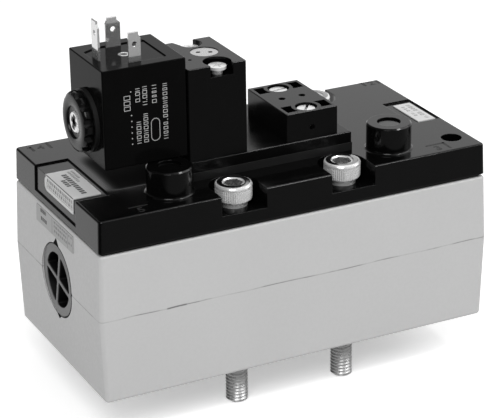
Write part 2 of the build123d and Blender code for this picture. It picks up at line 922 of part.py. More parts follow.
# Round caps in the body's ends, each with four pockets round a cross of spokes
for side, sign in sides:
    with BuildPart() as end_cap:
        cap_radius = mouth_diameter / 2 - cap_clearance
        nose_radius = piston_bore_radius - cap_nose_clearance
        seal_near = cap_seat_x + cap_seal_inset
        seal_far = seal_near + cap_seal_size + 2 * groove_clearance
        groove_bottom = cap_radius - cap_seal_size
        rib_near = cap_face_x - cap_rib_inset - cap_rib_width
        rib_far = cap_face_x - cap_rib_inset
        rib_radius = mouth_diameter / 2 + cap_rib_height
        cap_outline = [
            (cap_nose_x, 0),
            (cap_nose_x, nose_radius),
            (cap_seat_x, nose_radius),
            (cap_seat_x, cap_radius),
            (seal_near, cap_radius),
            (seal_near, groove_bottom),
            (seal_far, groove_bottom),
            (seal_far, cap_radius),
            (rib_near, cap_radius),
            (rib_near, rib_radius),
            (rib_far, cap_radius),
            (cap_face_x, cap_radius),
            (cap_face_x, 0),
        ]
        turn_along([(sign * x, radius) for x, radius in cap_outline], 0, spool_height)
        face_plane = Plane(
            origin=(sign * cap_face_x, 0, spool_height), x_dir=(0, 1, 0), z_dir=(sign, 0, 0)
        )
        with BuildSketch(face_plane) as pockets:
            Circle(cap_pocket_radius)
            with Locations(Rotation(0, 0, cap_spoke_turn)):
                Rectangle(2 * cap_pocket_radius, cap_spoke, mode=Mode.SUBTRACT)
                Rectangle(cap_spoke, 2 * cap_pocket_radius, mode=Mode.SUBTRACT)
            fillet(pockets.vertices(), cap_pocket_corner)
        extrude(pockets.sketch, amount=-cap_pocket_depth, mode=Mode.SUBTRACT)
        if sign > 0:
            seat_radius = return_spring_radius + return_spring_wire / 2 + spring_seat_clearance
            seat_outline = [
                (cap_nose_x, 0),
                (cap_nose_x, seat_radius),
                (cap_nose_x + spring_seat_depth, seat_radius),
                (cap_nose_x + spring_seat_depth, 0),
            ]
            turn_along(seat_outline, 0, spool_height, Mode.SUBTRACT)
    end_cap.part.label = side + "_end_cap"
    export_step(end_cap.part, "parts/" + side + "_end_cap.step")

# Rings that seal the end caps
with BuildPart() as end_cap_seals:
    for side, sign in sides:
        middle = cap_seat_x + cap_seal_inset + cap_seal_size / 2 + groove_clearance
        cap_radius = mouth_diameter / 2 - cap_clearance
        ring_along(
            sign * middle,
            0,
            spool_height,
            cap_radius - cap_seal_size / 2 + cap_clearance / 2,
            cap_seal_size / 2,
        )
end_cap_seals.part.label = "end_cap_seals"
export_step(end_cap_seals.part, "parts/end_cap_seals.step")

# Spring that returns the spool from the right
with BuildPart() as return_spring:
    spring_start = rest_shift + spool_half + piston_length
    spring_end = cap_nose_x + spring_seat_depth
    coil_spring(
        (spring_start, 0, spool_height),
        (1, 0, 0),
        spring_end - spring_start,
        return_spring_radius,
        return_spring_wire,
        return_spring_turns,
    )
return_spring.part.label = "return_spring"
export_step(return_spring.part, "parts/return_spring.step")

# Manual override buttons, their rings and springs
for side, sign in sides:
    button_top = cover_top + boss_height - button_sink
    flange_top = roof_underside - button_flange_clearance
    flange_bottom = flange_top - button_flange_thickness
    stem_bottom = body_height + button_travel + button_stem_clearance
    ring_level = cover_top + button_seal_height
    ring_bottom = button_diameter / 2 - button_seal_size
    ring_half = button_seal_size / 2 + groove_clearance
    with BuildPart() as button:
        turn_upright(
            [
                (0, button_top),
                (button_diameter / 2 - land_chamfer, button_top),
                (button_diameter / 2, button_top - land_chamfer),
                (button_diameter / 2, ring_level + ring_half),
                (ring_bottom, ring_level + ring_half),
                (ring_bottom, ring_level - ring_half),
                (button_diameter / 2, ring_level - ring_half),
                (button_diameter / 2, flange_top),
                (button_flange_diameter / 2, flange_top),
                (button_flange_diameter / 2, flange_bottom),
                (button_stem_diameter / 2, flange_bottom),
                (button_stem_diameter / 2, stem_bottom),
                (0, stem_bottom),
            ],
            sign * boss_x,
            boss_y,
        )
    button.part.label = side + "_override_button"
    export_step(button.part, "parts/" + side + "_override_button.step")
    with BuildPart() as button_seal:
        ring_upright(
            sign * boss_x,
            boss_y,
            ring_level,
            (button_diameter - button_seal_size) / 2,
            button_seal_size / 2,
        )
    button_seal.part.label = side + "_override_seal"
    export_step(button_seal.part, "parts/" + side + "_override_seal.step")
    with BuildPart() as button_spring:
        coil_spring(
            (sign * boss_x, boss_y, body_height),
            (0, 0, 1),
            flange_bottom - body_height,
            button_spring_radius,
            button_spring_wire,
            button_spring_turns,
        )
    button_spring.part.label = side + "_override_spring"
    export_step(button_spring.part, "parts/" + side + "_override_spring.step")

# Soft seal plate under the rail
with BuildPart() as seal_plate:
    block(
        rail_left - seal_plate_ledge,
        rail_right + seal_plate_ledge,
        rail_front - seal_plate_ledge,
        rail_back + seal_plate_ledge,
        cover_top,
        seal_plate_top,
    )
    for x, y in pilot_screw_places:
        hole = pilot_screw_diameter / 2 + screw_hole_clearance
        upright_cylinder(x, y, cover_top, seal_plate_top, hole)
    for x, y in blank_screw_places:
        hole = blank_screw_diameter / 2 + screw_hole_clearance
        upright_cylinder(x, y, cover_top, seal_plate_top, hole)
    upright_cylinder(outlet_x, 0, cover_top, seal_plate_top, jet_passage_diameter / 2)
    upright_cylinder(0, coil_axis_y, cover_top, seal_plate_top, jet_passage_diameter / 2)
seal_plate.part.label = "seal_plate"
export_step(seal_plate.part, "parts/seal_plate.step")

# Base plate that carries the pilot, with two channels in its underside
with BuildPart() as base_plate:
    block(rail_left, rail_right, rail_front, rail_back, seal_plate_top, rail_top)
    chamfer(base_plate.edges().group_by(Axis.Z)[-1], rail_edge)
    for x, y in pilot_screw_places:
        hole = pilot_screw_diameter / 2 + screw_hole_clearance
        upright_cylinder(x, y, seal_plate_top, rail_top, hole)
    for x, y in blank_screw_places:
        hole = blank_screw_diameter / 2 + screw_hole_clearance
        upright_cylinder(x, y, seal_plate_top, rail_top, hole)
    channel_half = jet_passage_diameter / 2
    channel_top = seal_plate_top + jet_passage_diameter
    block(
        outlet_x - channel_half,
        outlet_x + channel_half,
        coil_axis_y - channel_half,
        channel_half,
        seal_plate_top,
        channel_top,
        Mode.SUBTRACT,
    )
    block(
        supply_x - channel_half,
        channel_half,
        coil_axis_y - channel_half,
        coil_axis_y + channel_half,
        seal_plate_top,
        channel_top,
        Mode.SUBTRACT,
    )
    upright_cylinder(outlet_x, coil_axis_y, channel_top, rail_top, channel_half)
    upright_cylinder(supply_x, coil_axis_y, channel_top, rail_top, channel_half)
base_plate.part.label = "base_plate"
export_step(base_plate.part, "parts/base_plate.step")

# Blanking plate with two slotted screws
with BuildPart() as blanking_plate:
    block(blank_left, blank_right, blank_front, blank_back, rail_top, blank_top)
    fillet(blanking_plate.edges().filter_by(Axis.Z), blank_edge)
    chamfer(blanking_plate.edges().group_by(Axis.Z)[-1], blank_edge / 2)
    head_seat = blank_top - blank_screw_sink - blank_screw_head_height
    for x, y in blank_screw_places:
        upright_cylinder(x, y, head_seat, blank_top, blank_bore / 2)
        hole = blank_screw_diameter / 2 + screw_hole_clearance
        upright_cylinder(x, y, rail_top, head_seat, hole)
        for sign in (-1, 1):
            outer = x + sign * (blank_pocket_offset + blank_pocket_width / 2)
            inner = x + sign * (blank_pocket_arc / 2)
            with BuildSketch(Plane.XY.offset(blank_top)) as pocket:
                with Locations(((inner + outer) / 2, y)):
                    Rectangle(abs(outer - inner), blank_pocket_length)
                with Locations((x, y)):
                    Circle(blank_pocket_arc, mode=Mode.SUBTRACT)
            extrude(pocket.sketch, amount=-blank_pocket_depth, mode=Mode.SUBTRACT)
    middle_y = (blank_front + blank_back) / 2
    for sign in (-1, 1):
        upright_cylinder(
            blank_screw_x + sign * blank_pin_hole_spread / 2,
            middle_y,
            blank_top - blank_pin_hole_depth,
            blank_top,
            blank_pin_hole_diameter / 2,
        )
    hole_plane = Plane(
        origin=(blank_screw_x, blank_front, rail_top + blank_front_hole_height), z_dir=(0, 1, 0)
    )
    with BuildSketch(hole_plane) as front_hole:
        Circle(blank_front_hole_diameter / 2)
    extrude(front_hole.sketch, amount=blank_front_hole_depth, mode=Mode.SUBTRACT)
blanking_plate.part.label = "blanking_plate"
export_step(blanking_plate.part, "parts/blanking_plate.step")

with BuildPart() as blanking_screws:
    head_top = blank_top - blank_screw_sink
    turns = (blank_slot_turn_front, blank_slot_turn_rear)
    for (x, y), turn in zip(blank_screw_places, turns):
        upright_cylinder(x, y, head_seat, head_top, blank_screw_head / 2, Mode.ADD)
        upright_cylinder(x, y, small_screw_end, head_seat, blank_screw_diameter / 2, Mode.ADD)
        with BuildSketch(Plane.XY.offset(head_top)) as slot:
            with Locations(Location((x, y), turn)):
                Rectangle(blank_screw_head, blank_slot_width)
        extrude(slot.sketch, amount=-blank_slot_depth, mode=Mode.SUBTRACT)
blanking_screws.part.label = "blanking_screws"
export_step(blanking_screws.part, "parts/blanking_screws.step")

# Pilot body: the tube's flange and the nozzle seat sit in its left face
with BuildPart() as pilot_body:
    block(pilot_left, pilot_right, pilot_front, pilot_back, rail_top, pilot_top)
    fillet(pilot_body.edges().filter_by(Axis.Z), pilot_edge)
    chamfer(pilot_body.edges().group_by(Axis.Z)[-1], pilot_edge / 2)
    turn_along(
        [
            (pilot_left, 0),
            (pilot_left, tube_flange_diameter / 2 + flange_clearance),
            (chamber_left, tube_flange_diameter / 2 + flange_clearance),
            (chamber_left, tube_flange_diameter / 2),
            (chamber_left + tube_seal_size, tube_flange_diameter / 2),
            (chamber_left + tube_seal_size, tube_flange_diameter / 2 - 2 * tube_seal_size),
            (chamber_left, tube_flange_diameter / 2 - 2 * tube_seal_size),
            (chamber_left, chamber_diameter / 2),
            (chamber_right, chamber_diameter / 2),
            (chamber_right, seat_diameter / 2 + threaded_clearance),
            (seat_right, seat_diameter / 2 + threaded_clearance),
            (seat_right, jet_passage_diameter / 2),
            (supply_x, jet_passage_diameter / 2),
            (supply_x, 0),
        ],
        coil_axis_y,
        coil_axis_height,
        Mode.SUBTRACT,
    )
    jet = jet_passage_diameter / 2
    upright_cylinder(supply_x, coil_axis_y, rail_top, coil_axis_height, jet)
    upright_cylinder(
        outlet_x, coil_axis_y, rail_top, coil_axis_height - chamber_diameter / 2 + jet, jet
    )
    # Notches round the two screws, open to front and back
    notch_level = pilot_top - notch_depth
    with BuildSketch(Plane.XY.offset(notch_level)) as notches:
        with Locations((pilot_screw_x, pilot_screw_front_y)):
            Circle(front_notch_radius)
        with Locations((pilot_screw_x, pilot_front)):
            Rectangle(2 * front_notch_half_width, 2 * (pilot_screw_front_y - pilot_front))
        with Locations((pilot_screw_x, pilot_screw_rear_y)):
            Circle(rear_notch_radius)
        with BuildLine():
            Polyline(
                (pilot_screw_x - rear_notch_radius, pilot_screw_rear_y),
                (pilot_screw_x - rear_notch_radius - rear_notch_flare, pilot_back + pilot_edge),
                (pilot_screw_x + rear_notch_radius - rear_notch_flare, pilot_back + pilot_edge),
                (pilot_screw_x + rear_notch_radius, pilot_screw_rear_y),
                close=True,
            )
        make_face()
    extrude(notches.sketch, amount=notch_depth, mode=Mode.SUBTRACT)
    for x, y in pilot_screw_places:
        hole = pilot_screw_diameter / 2 + screw_hole_clearance
        upright_cylinder(x, y, rail_top, notch_level, hole)
    # Well of the adjusting plug
    plug_bottom = pilot_top - plug_sink - plug_thickness
    upright_cylinder(plug_x, plug_y, plug_bottom, pilot_top, plug_diameter / 2 + plug_clearance)
    upright_cylinder(plug_x, plug_y, coil_axis_height, plug_bottom, plug_well_diameter / 2)
    upright_cylinder(dot_x, dot_y, pilot_top - dot_depth, pilot_top, dot_diameter / 2)
pilot_body.part.label = "pilot_body"
export_step(pilot_body.part, "parts/pilot_body.step")

with BuildPart() as pilot_screws:
    head_top = pilot_top - pilot_screw_sink
    head_bottom = head_top - pilot_screw_head_height
    for x, y in pilot_screw_places:
        upright_cylinder(x, y, head_bottom, head_top, pilot_screw_head / 2, Mode.ADD)
        upright_cylinder(x, y, notch_level, head_bottom, pilot_screw_shoulder / 2, Mode.ADD)
        upright_cylinder(x, y, small_screw_end, notch_level, pilot_screw_diameter / 2, Mode.ADD)
        with BuildSketch(Plane.XY.offset(head_top)) as cross:
            with Locations(Location((x, y), pilot_screw_cross_turn)):
                Rectangle(pilot_screw_cross_length, pilot_screw_cross)
                Rectangle(pilot_screw_cross, pilot_screw_cross_length)
        extrude(cross.sketch, amount=-pilot_screw_cross_depth, mode=Mode.SUBTRACT)
pilot_screws.part.label = "pilot_screws"
export_step(pilot_screws.part, "parts/pilot_screws.step")

# Adjusting plug with two pin holes, and its ring
with BuildPart() as adjusting_plug:
    plug_top = pilot_top - plug_sink
    plug_radius = plug_diameter / 2
    ring_level = plug_bottom + plug_thickness / 2
    ring_half = plug_seal_size / 2 + groove_clearance
    turn_upright(
        [
            (0, plug_bottom),
            (plug_radius, plug_bottom),
            (plug_radius, ring_level - ring_half),
            (plug_radius - plug_seal_size, ring_level - ring_half),
            (plug_radius - plug_seal_size, ring_level + ring_half),
            (plug_radius, ring_level + ring_half),
            (plug_radius, plug_top),
            (0, plug_top),
        ],
        plug_x,
        plug_y,
    )
    with BuildSketch(Plane.XY.offset(plug_top)) as pin_holes:
        with Locations(Location((plug_x, plug_y), plug_pin_turn)):
            with GridLocations(plug_pin_spread, 0, 2, 1):
                Circle(plug_pin_diameter / 2)
    extrude(pin_holes.sketch, amount=-plug_pin_depth, mode=Mode.SUBTRACT)
adjusting_plug.part.label = "adjusting_plug"
export_step(adjusting_plug.part, "parts/adjusting_plug.step")

with BuildPart() as plug_seal:
    ring_upright(
        plug_x, plug_y, ring_level, plug_radius - plug_seal_size / 2, plug_seal_size / 2
    )
plug_seal.part.label = "plug_seal"
export_step(plug_seal.part, "parts/plug_seal.step")

# Nozzle seat pressed in the pilot body
with BuildPart() as nozzle_seat:
    turn_along(
        [
            (seat_left, seat_orifice / 2),
            (seat_left, seat_diameter / 2 - land_chamfer),
            (seat_left + land_chamfer, seat_diameter / 2),
            (seat_right, seat_diameter / 2),
            (seat_right, seat_orifice / 2),
        ],
        coil_axis_y,
        coil_axis_height,
    )
nozzle_seat.part.label = "nozzle_seat"
export_step(nozzle_seat.part, "parts/nozzle_seat.step")

# Plunger tube with its flange, and the fixed pole at its closed end
bore_radius = tube_diameter / 2 - tube_wall
pole_left = coil_left + pole_shoulder
pole_right = pole_left + pole_length
with BuildPart() as plunger_tube:
    turn_along(
        [
            (pole_left, bore_radius),
            (pole_left, tube_diameter / 2),
            (coil_right, tube_diameter / 2),
            (coil_right, tube_flange_diameter / 2),
            (flange_right, tube_flange_diameter / 2),
            (flange_right, bore_radius),
        ],
        coil_axis_y,
        coil_axis_height,
    )
plunger_tube.part.label = "plunger_tube"
export_step(plunger_tube.part, "parts/plunger_tube.step")

with BuildPart() as tube_seal:
    ring_along(
        chamber_left + tube_seal_size / 2,
        coil_axis_y,
        coil_axis_height,
        tube_flange_diameter / 2 - tube_seal_size,
        tube_seal_size / 2 - groove_clearance / 2,
    )
tube_seal.part.label = "tube_seal"
export_step(tube_seal.part, "parts/tube_seal.step")

stem_left = coil_left - stem_length
with BuildPart() as pole_piece:
    turn_along(
        [
            (stem_left, 0),
            (stem_left, stem_diameter / 2 - land_chamfer),
            (stem_left + land_chamfer, stem_diameter / 2),
            (coil_left, stem_diameter / 2),
            (coil_left, tube_diameter / 2),
            (pole_left, tube_diameter / 2),
            (pole_left, bore_radius),
            (pole_right, bore_radius),
            (pole_right, plunger_spring_well),
            (pole_right - pole_spring_depth, plunger_spring_well),
            (pole_right - pole_spring_depth, 0),
        ],
        coil_axis_y,
        coil_axis_height,
    )
    stem_plane = Plane(
        origin=(stem_left, coil_axis_y, coil_axis_height), x_dir=(0, 1, 0), z_dir=(-1, 0, 0)
    )
    with BuildSketch(stem_plane) as slot:
        Rectangle(stem_slot_width, stem_slot_length)
    extrude(slot.sketch, amount=-stem_slot_depth, mode=Mode.SUBTRACT)
pole_piece.part.label = "pole_piece"
export_step(pole_piece.part, "parts/pole_piece.step")

# Plunger with a soft pad that closes the nozzle seat
plunger_left = pole_right + plunger_travel + seat_gap
plunger_right = seat_left - seat_gap
with BuildPart() as plunger:
    turn_along(
        [
            (plunger_left + plunger_spring_depth, 0),
            (plunger_left + plunger_spring_depth, plunger_spring_well),
            (plunger_left, plunger_spring_well),
            (plunger_left, plunger_diameter / 2),
            (plunger_right, plunger_diameter / 2),
            (plunger_right, seal_pad_diameter / 2),
            (plunger_right - seal_pad_thickness, seal_pad_diameter / 2),
            (plunger_right - seal_pad_thickness, 0),
        ],
        coil_axis_y,
        coil_axis_height,
    )
plunger.part.label = "plunger"
export_step(plunger.part, "parts/plunger.step")

with BuildPart() as plunger_pad:
    turn_along(
        [
            (plunger_right - seal_pad_thickness, 0),
            (plunger_right - seal_pad_thickness, seal_pad_diameter / 2),
            (plunger_right, seal_pad_diameter / 2),
            (plunger_right, 0),
        ],
        coil_axis_y,
        coil_axis_height,
    )
plunger_pad.part.label = "plunger_pad"
export_step(plunger_pad.part, "parts/plunger_pad.step")

with BuildPart() as plunger_spring:
    spring_start = pole_right - pole_spring_depth
    coil_spring(
        (spring_start, coil_axis_y, coil_axis_height),
        (1, 0, 0),
        plunger_left + plunger_spring_depth - spring_start,
        plunger_spring_radius,
        plunger_spring_wire,
        plunger_spring_turns,
    )
plunger_spring.part.label = "plunger_spring"
export_step(plunger_spring.part, "parts/plunger_spring.step")

# Coil: moulded case round a steel frame, a bobbin and its winding
frame_left = coil_left + frame_wall
frame_right = coil_right - frame_wall
frame_low = coil_bottom + frame_wall
frame_high = coil_axis_height + frame_half_width
tube_bore = tube_diameter / 2 + tube_clearance
recess_level = coil_top - coil_recess_depth
contacts = [
    (contact_x, coil_axis_y - contact_spread / 2, front_contact_width / 2),
    (contact_x, coil_axis_y + contact_spread / 2, rear_contact_width / 2),
]
with BuildPart() as coil_case:
    block(coil_left, coil_right, coil_front, coil_back, coil_bottom, coil_top)
    fillet(coil_case.edges().filter_by(Axis.Z), coil_corner)
    fillet(coil_case.edges().group_by(Axis.Z)[-1], coil_edge)
    fillet(coil_case.edges().group_by(Axis.Z)[0], coil_edge)
    block(
        frame_left,
        frame_right,
        coil_axis_y - frame_half_width,
        coil_axis_y + frame_half_width,
        frame_low,
        frame_high,
        Mode.SUBTRACT,
    )
    turn_along(
        [(coil_left, 0), (coil_left, tube_bore), (coil_right, tube_bore), (coil_right, 0)],
        coil_axis_y,
        coil_axis_height,
        Mode.SUBTRACT,
    )
    recess_left = coil_left + coil_recess_left
    recess_right = coil_right - coil_recess_right
    recess_front = coil_front + coil_recess_front
    recess_back = coil_back - coil_recess_front
    with BuildSketch(Plane.XY.offset(recess_level)) as recess:
        with BuildLine():
            Polyline(
                (recess_left, recess_front),
                (recess_right, recess_front),
                (recess_right, recess_back),
                (recess_left + coil_recess_cut, recess_back),
                (recess_left, recess_back - coil_recess_cut / 2),
                close=True,
            )
        make_face()
        fillet(recess.vertices(), coil_recess_corner)
    extrude(recess.sketch, amount=coil_recess_depth, mode=Mode.SUBTRACT)
    for x, y, half in contacts:
        block(
            x - half - blade_slot_clearance,
            x + half + blade_slot_clearance,
            y - blade_thickness / 2 - blade_slot_clearance,
            y + blade_thickness / 2 + blade_slot_clearance,
            blade_root,
            coil_top,
            Mode.SUBTRACT,
        )
    block(
        ground_x - blade_thickness / 2 - blade_slot_clearance,
        ground_x + blade_thickness / 2 + blade_slot_clearance,
        coil_axis_y - ground_width / 2 - blade_slot_clearance,
        coil_axis_y + ground_width / 2 + blade_slot_clearance,
        blade_root,
        coil_top,
        Mode.SUBTRACT,
    )
    upright_cylinder(
        contact_x, coil_axis_y, recess_level - insert_depth, coil_top, insert_diameter / 2
    )
coil_case.part.label = "coil_case"
export_step(coil_case.part, "parts/coil_case.step")

with BuildPart() as coil_frame:
    inner_left = frame_left + frame_clearance
    inner_right = frame_right - frame_clearance
    side_half = frame_half_width - frame_clearance
    low = frame_low + frame_clearance
    high = frame_high - frame_clearance
    block(inner_left, inner_right, coil_axis_y - side_half, coil_axis_y + side_half, low, high)
    block(
        inner_left + frame_plate,
        inner_right - frame_plate,
        coil_axis_y - frame_half_width,
        coil_axis_y + frame_half_width,
        low - frame_plate,
        high - frame_plate,
        Mode.SUBTRACT,
    )
    turn_along(
        [(coil_left, 0), (coil_left, tube_bore), (coil_right, tube_bore), (coil_right, 0)],
        coil_axis_y,
        coil_axis_height,
        Mode.SUBTRACT,
    )
coil_frame.part.label = "coil_frame"
export_step(coil_frame.part, "parts/coil_frame.step")

bobbin_left = inner_left + frame_plate
bobbin_right = inner_right - frame_plate
bobbin_core = tube_bore + bobbin_tube_wall
with BuildPart() as bobbin:
    turn_along(
        [
            (bobbin_left, tube_bore),
            (bobbin_left, bobbin_radius),
            (bobbin_left + bobbin_flange, bobbin_radius),
            (bobbin_left + bobbin_flange, bobbin_core),
            (bobbin_right - bobbin_flange, bobbin_core),
            (bobbin_right - bobbin_flange, bobbin_radius),
            (bobbin_right, bobbin_radius),
            (bobbin_right, tube_bore),
        ],
        coil_axis_y,
        coil_axis_height,
    )
bobbin.part.label = "bobbin"
export_step(bobbin.part, "parts/bobbin.step")

with BuildPart() as winding:
    turn_along(
        [
            (bobbin_left + bobbin_flange, bobbin_core),
            (bobbin_left + bobbin_flange, winding_radius),
            (bobbin_right - bobbin_flange, winding_radius),
            (bobbin_right - bobbin_flange, bobbin_core),
        ],
        coil_axis_y,
        coil_axis_height,
    )
winding.part.label = "winding"
export_step(winding.part, "parts/winding.step")

# Seal ring and fluted nut that clamp the coil
ring_left = coil_left - seal_ring_thickness
nut_left = ring_left - nut_thickness
with BuildPart() as nut_seal:
    hole = stem_diameter / 2 + stem_clearance
    turn_along(
        [
            (ring_left, hole),
            (ring_left, seal_ring_diameter / 2),
            (coil_left, seal_ring_diameter / 2),
            (coil_left, hole),
        ],
        coil_axis_y,
        coil_axis_height,
    )
nut_seal.part.label = "nut_seal"
export_step(nut_seal.part, "parts/nut_seal.step")

with BuildPart() as coil_nut:
    nut_plane = Plane(
        origin=(ring_left, coil_axis_y, coil_axis_height), x_dir=(0, 1, 0), z_dir=(-1, 0, 0)
    )
    with BuildSketch(nut_plane) as section:
        Circle(nut_diameter / 2)
        with PolarLocations(nut_diameter / 2 + nut_flute_radius - nut_flute_depth, nut_flutes):
            Circle(nut_flute_radius, mode=Mode.SUBTRACT)
    extrude(section.sketch, amount=nut_thickness)
    chamfer(coil_nut.faces().sort_by(Axis.X)[0].edges(), nut_edge / 2)
    turn_along(
        [
            (nut_left, 0),
            (nut_left, nut_face_groove_outer),
            (nut_left + nut_face_groove_depth, nut_face_groove_outer),
            (nut_left + nut_face_groove_depth, stem_diameter / 2 + threaded_clearance),
            (ring_left, stem_diameter / 2 + threaded_clearance),
            (ring_left, 0),
        ],
        coil_axis_y,
        coil_axis_height,
        Mode.SUBTRACT,
    )
coil_nut.part.label = "coil_nut"
export_step(coil_nut.part, "parts/coil_nut.step")


# Plug-in terminals
with BuildPart() as contact_blades:
    tip_left = contact_tip_shift - blade_tip_width / 2
    tip_right = contact_tip_shift + blade_tip_width / 2
    for x, y, half in contacts:
        blade_plane = Plane(
            origin=(x, y + blade_thickness / 2, 0), x_dir=(1, 0, 0), z_dir=(0, -1, 0)
        )
        with BuildSketch(blade_plane) as outline:
            with BuildLine():
                Polyline(
                    (-half, blade_root),
                    (half, blade_root),
                    (half, contact_tip - blade_taper),
                    (tip_right, contact_tip - blade_taper / 2),
                    (tip_right, contact_tip),
                    (tip_left, contact_tip),
                    (tip_left, contact_tip - blade_taper / 2),
                    (-half, contact_tip - blade_taper),
                    close=True,
                )
            make_face()
            with Locations((0, contact_tip - blade_hole_drop)):
                Circle(blade_hole_diameter / 2, mode=Mode.SUBTRACT)
        extrude(outline.sketch, amount=blade_thickness)
    chamfer(contact_blades.edges().group_by(Axis.Z)[-1].filter_by(Axis.X), blade_edge)
contact_blades.part.label = "contact_blades"
export_step(contact_blades.part, "parts/contact_blades.step")

with BuildPart() as ground_blade:
    tip_front = ground_tip_shift - blade_tip_width / 2
    tip_back = ground_tip_shift + blade_tip_width / 2
    blade_plane = Plane(
        origin=(ground_x - blade_thickness / 2, coil_axis_y, 0), x_dir=(0, 1, 0), z_dir=(1, 0, 0)
    )
    with BuildSketch(blade_plane) as outline:
        with BuildLine():
            Polyline(
                (-ground_width / 2, blade_root),
                (ground_width / 2, blade_root),
                (ground_width / 2, ground_tip - blade_taper),
                (tip_back, ground_tip - blade_taper / 2),
                (tip_back, ground_tip),
                (tip_front, ground_tip),
                (tip_front, ground_tip - blade_taper / 2),
                (-ground_width / 2, ground_tip - blade_taper),
                close=True,
            )
        make_face()
        with Locations((0, ground_tip - blade_hole_drop)):
            Circle(blade_hole_diameter / 2, mode=Mode.SUBTRACT)
    extrude(outline.sketch, amount=blade_thickness)
    chamfer(ground_blade.edges().group_by(Axis.Z)[-1].filter_by(Axis.Y), blade_edge)
ground_blade.part.label = "ground_blade"
export_step(ground_blade.part, "parts/ground_blade.step")

# Threaded insert for the connector's screw
with BuildPart() as connector_insert:
    insert_radius = insert_diameter / 2
    upright_cylinder(
        contact_x,
        coil_axis_y,
        recess_level - insert_depth,
        recess_level,
        insert_radius,
        Mode.ADD,
    )
    upright_cylinder(
        contact_x, coil_axis_y, recess_level - insert_bore_depth, recess_level, insert_bore / 2
    )
connector_insert.part.label = "connector_insert"
export_step(connector_insert.part, "parts/connector_insert.step")

# Label that wraps the cover's upper left edge
with BuildPart() as type_label:
    inner = type_label_recess
    outer = type_label_recess - type_label_thickness
    low = cover_top - type_label_drop
    right = -half_length(cover_top) + type_label_top_reach
    with BuildSketch(Plane.XZ.offset(-type_label_back)) as section:
        with BuildLine():
            Polyline(
                (-half_length(low) + outer, low),
                (-half_length(low) + inner, low),
                (-half_length(cover_top) + inner, cover_top - inner),
                (right, cover_top - inner),
                (right, cover_top - outer),
                (-half_length(cover_top) + outer, cover_top - outer),
                close=True,
            )
        make_face()
    extrude(section.sketch, amount=type_label_back - type_label_front)
type_label.part.label = "type_label"
export_step(type_label.part, "parts/type_label.step")

# White label near the right end
with BuildPart() as flow_label:
    block(
        flow_label_left,
        flow_label_right,
        flow_label_front,
        flow_label_back,
        cover_top - type_label_recess,
        cover_top - type_label_recess + type_label_thickness,
    )
flow_label.part.label = "flow_label"
export_step(flow_label.part, "parts/flow_label.step")

# Rating label on the body's left end
with BuildPart() as rating_label:
    with BuildSketch(Plane.XZ.offset(-rating_label_back)) as section:
        with BuildLine():
            Polyline(
                (-half_length(rating_label_low), rating_label_low),
                (-half_length(rating_label_high), rating_label_high),
                (-half_length(rating_label_high) - rating_label_thickness, rating_label_high),
                (-half_length(rating_label_low) - rating_label_thickness, rating_label_low),
                close=True,
            )
        make_face()
    extrude(section.sketch, amount=rating_label_back - rating_label_front)
rating_label.part.label = "rating_label"
export_step(rating_label.part, "parts/rating_label.step")
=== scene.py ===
import bpy
import json
import math
from mathutils import Matrix, Vector


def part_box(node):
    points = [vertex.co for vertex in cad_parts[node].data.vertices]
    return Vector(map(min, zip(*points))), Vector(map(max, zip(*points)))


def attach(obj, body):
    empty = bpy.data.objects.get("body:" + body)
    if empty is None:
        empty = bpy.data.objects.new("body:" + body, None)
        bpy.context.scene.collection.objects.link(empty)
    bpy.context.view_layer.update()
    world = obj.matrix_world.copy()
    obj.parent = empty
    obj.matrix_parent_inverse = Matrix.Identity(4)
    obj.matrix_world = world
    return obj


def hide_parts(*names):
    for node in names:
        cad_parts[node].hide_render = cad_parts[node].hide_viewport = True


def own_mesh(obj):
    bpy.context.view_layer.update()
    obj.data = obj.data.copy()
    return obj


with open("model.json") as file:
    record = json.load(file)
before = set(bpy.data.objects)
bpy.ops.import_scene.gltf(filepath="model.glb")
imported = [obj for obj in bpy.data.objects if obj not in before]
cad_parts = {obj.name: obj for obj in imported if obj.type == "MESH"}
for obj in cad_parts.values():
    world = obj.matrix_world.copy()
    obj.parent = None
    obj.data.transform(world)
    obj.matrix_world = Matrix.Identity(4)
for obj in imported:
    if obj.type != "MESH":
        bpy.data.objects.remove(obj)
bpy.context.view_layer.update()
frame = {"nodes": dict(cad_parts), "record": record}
mm = 0.001                      # sizes are in millimetres where nothing else is said
print("model loaded:", len(frame["nodes"]), "nodes")

# Camera, where the photograph was taken from: its place in metres, its angles in degrees
view = {
    "place": (-0.3147, -0.6334, 0.3461),
    "azimuth": -26.412,
    "elevation": 23.250,
    "roll": -0.758,
    "lens": 154.5,
    "sensor": 36,
    "nearest": 0.05,
    "farthest": 20,
}


def placeCamera():
    data = bpy.data.cameras.new("viewCamera")
    data.lens = view["lens"]
    data.sensor_width = view["sensor"]
    data.sensor_fit = "HORIZONTAL"
    data.clip_start = view["nearest"]
    data.clip_end = view["farthest"]
    camera = bpy.data.objects.new("viewCamera", data)
    bpy.context.collection.objects.link(camera)
    azimuth = math.radians(view["azimuth"])
    elevation = math.radians(view["elevation"])
    roll = math.radians(view["roll"])
    back = Vector((
        math.sin(azimuth) * math.cos(elevation),
        -math.cos(azimuth) * math.cos(elevation),
        math.sin(elevation),
    ))
    right = (-back).cross(Vector((0, 0, 1))).normalized()
    up = right.cross(-back)
    turnedRight = right * math.cos(roll) + up * math.sin(roll)
    turnedUp = up * math.cos(roll) - right * math.sin(roll)
    matrix = Matrix((turnedRight, turnedUp, back)).transposed().to_4x4()
    matrix.translation = view["place"]
    camera.matrix_world = matrix
    bpy.context.scene.camera = camera


placeCamera()
bpy.context.scene.view_settings.view_transform = "Standard"
print("camera placed")

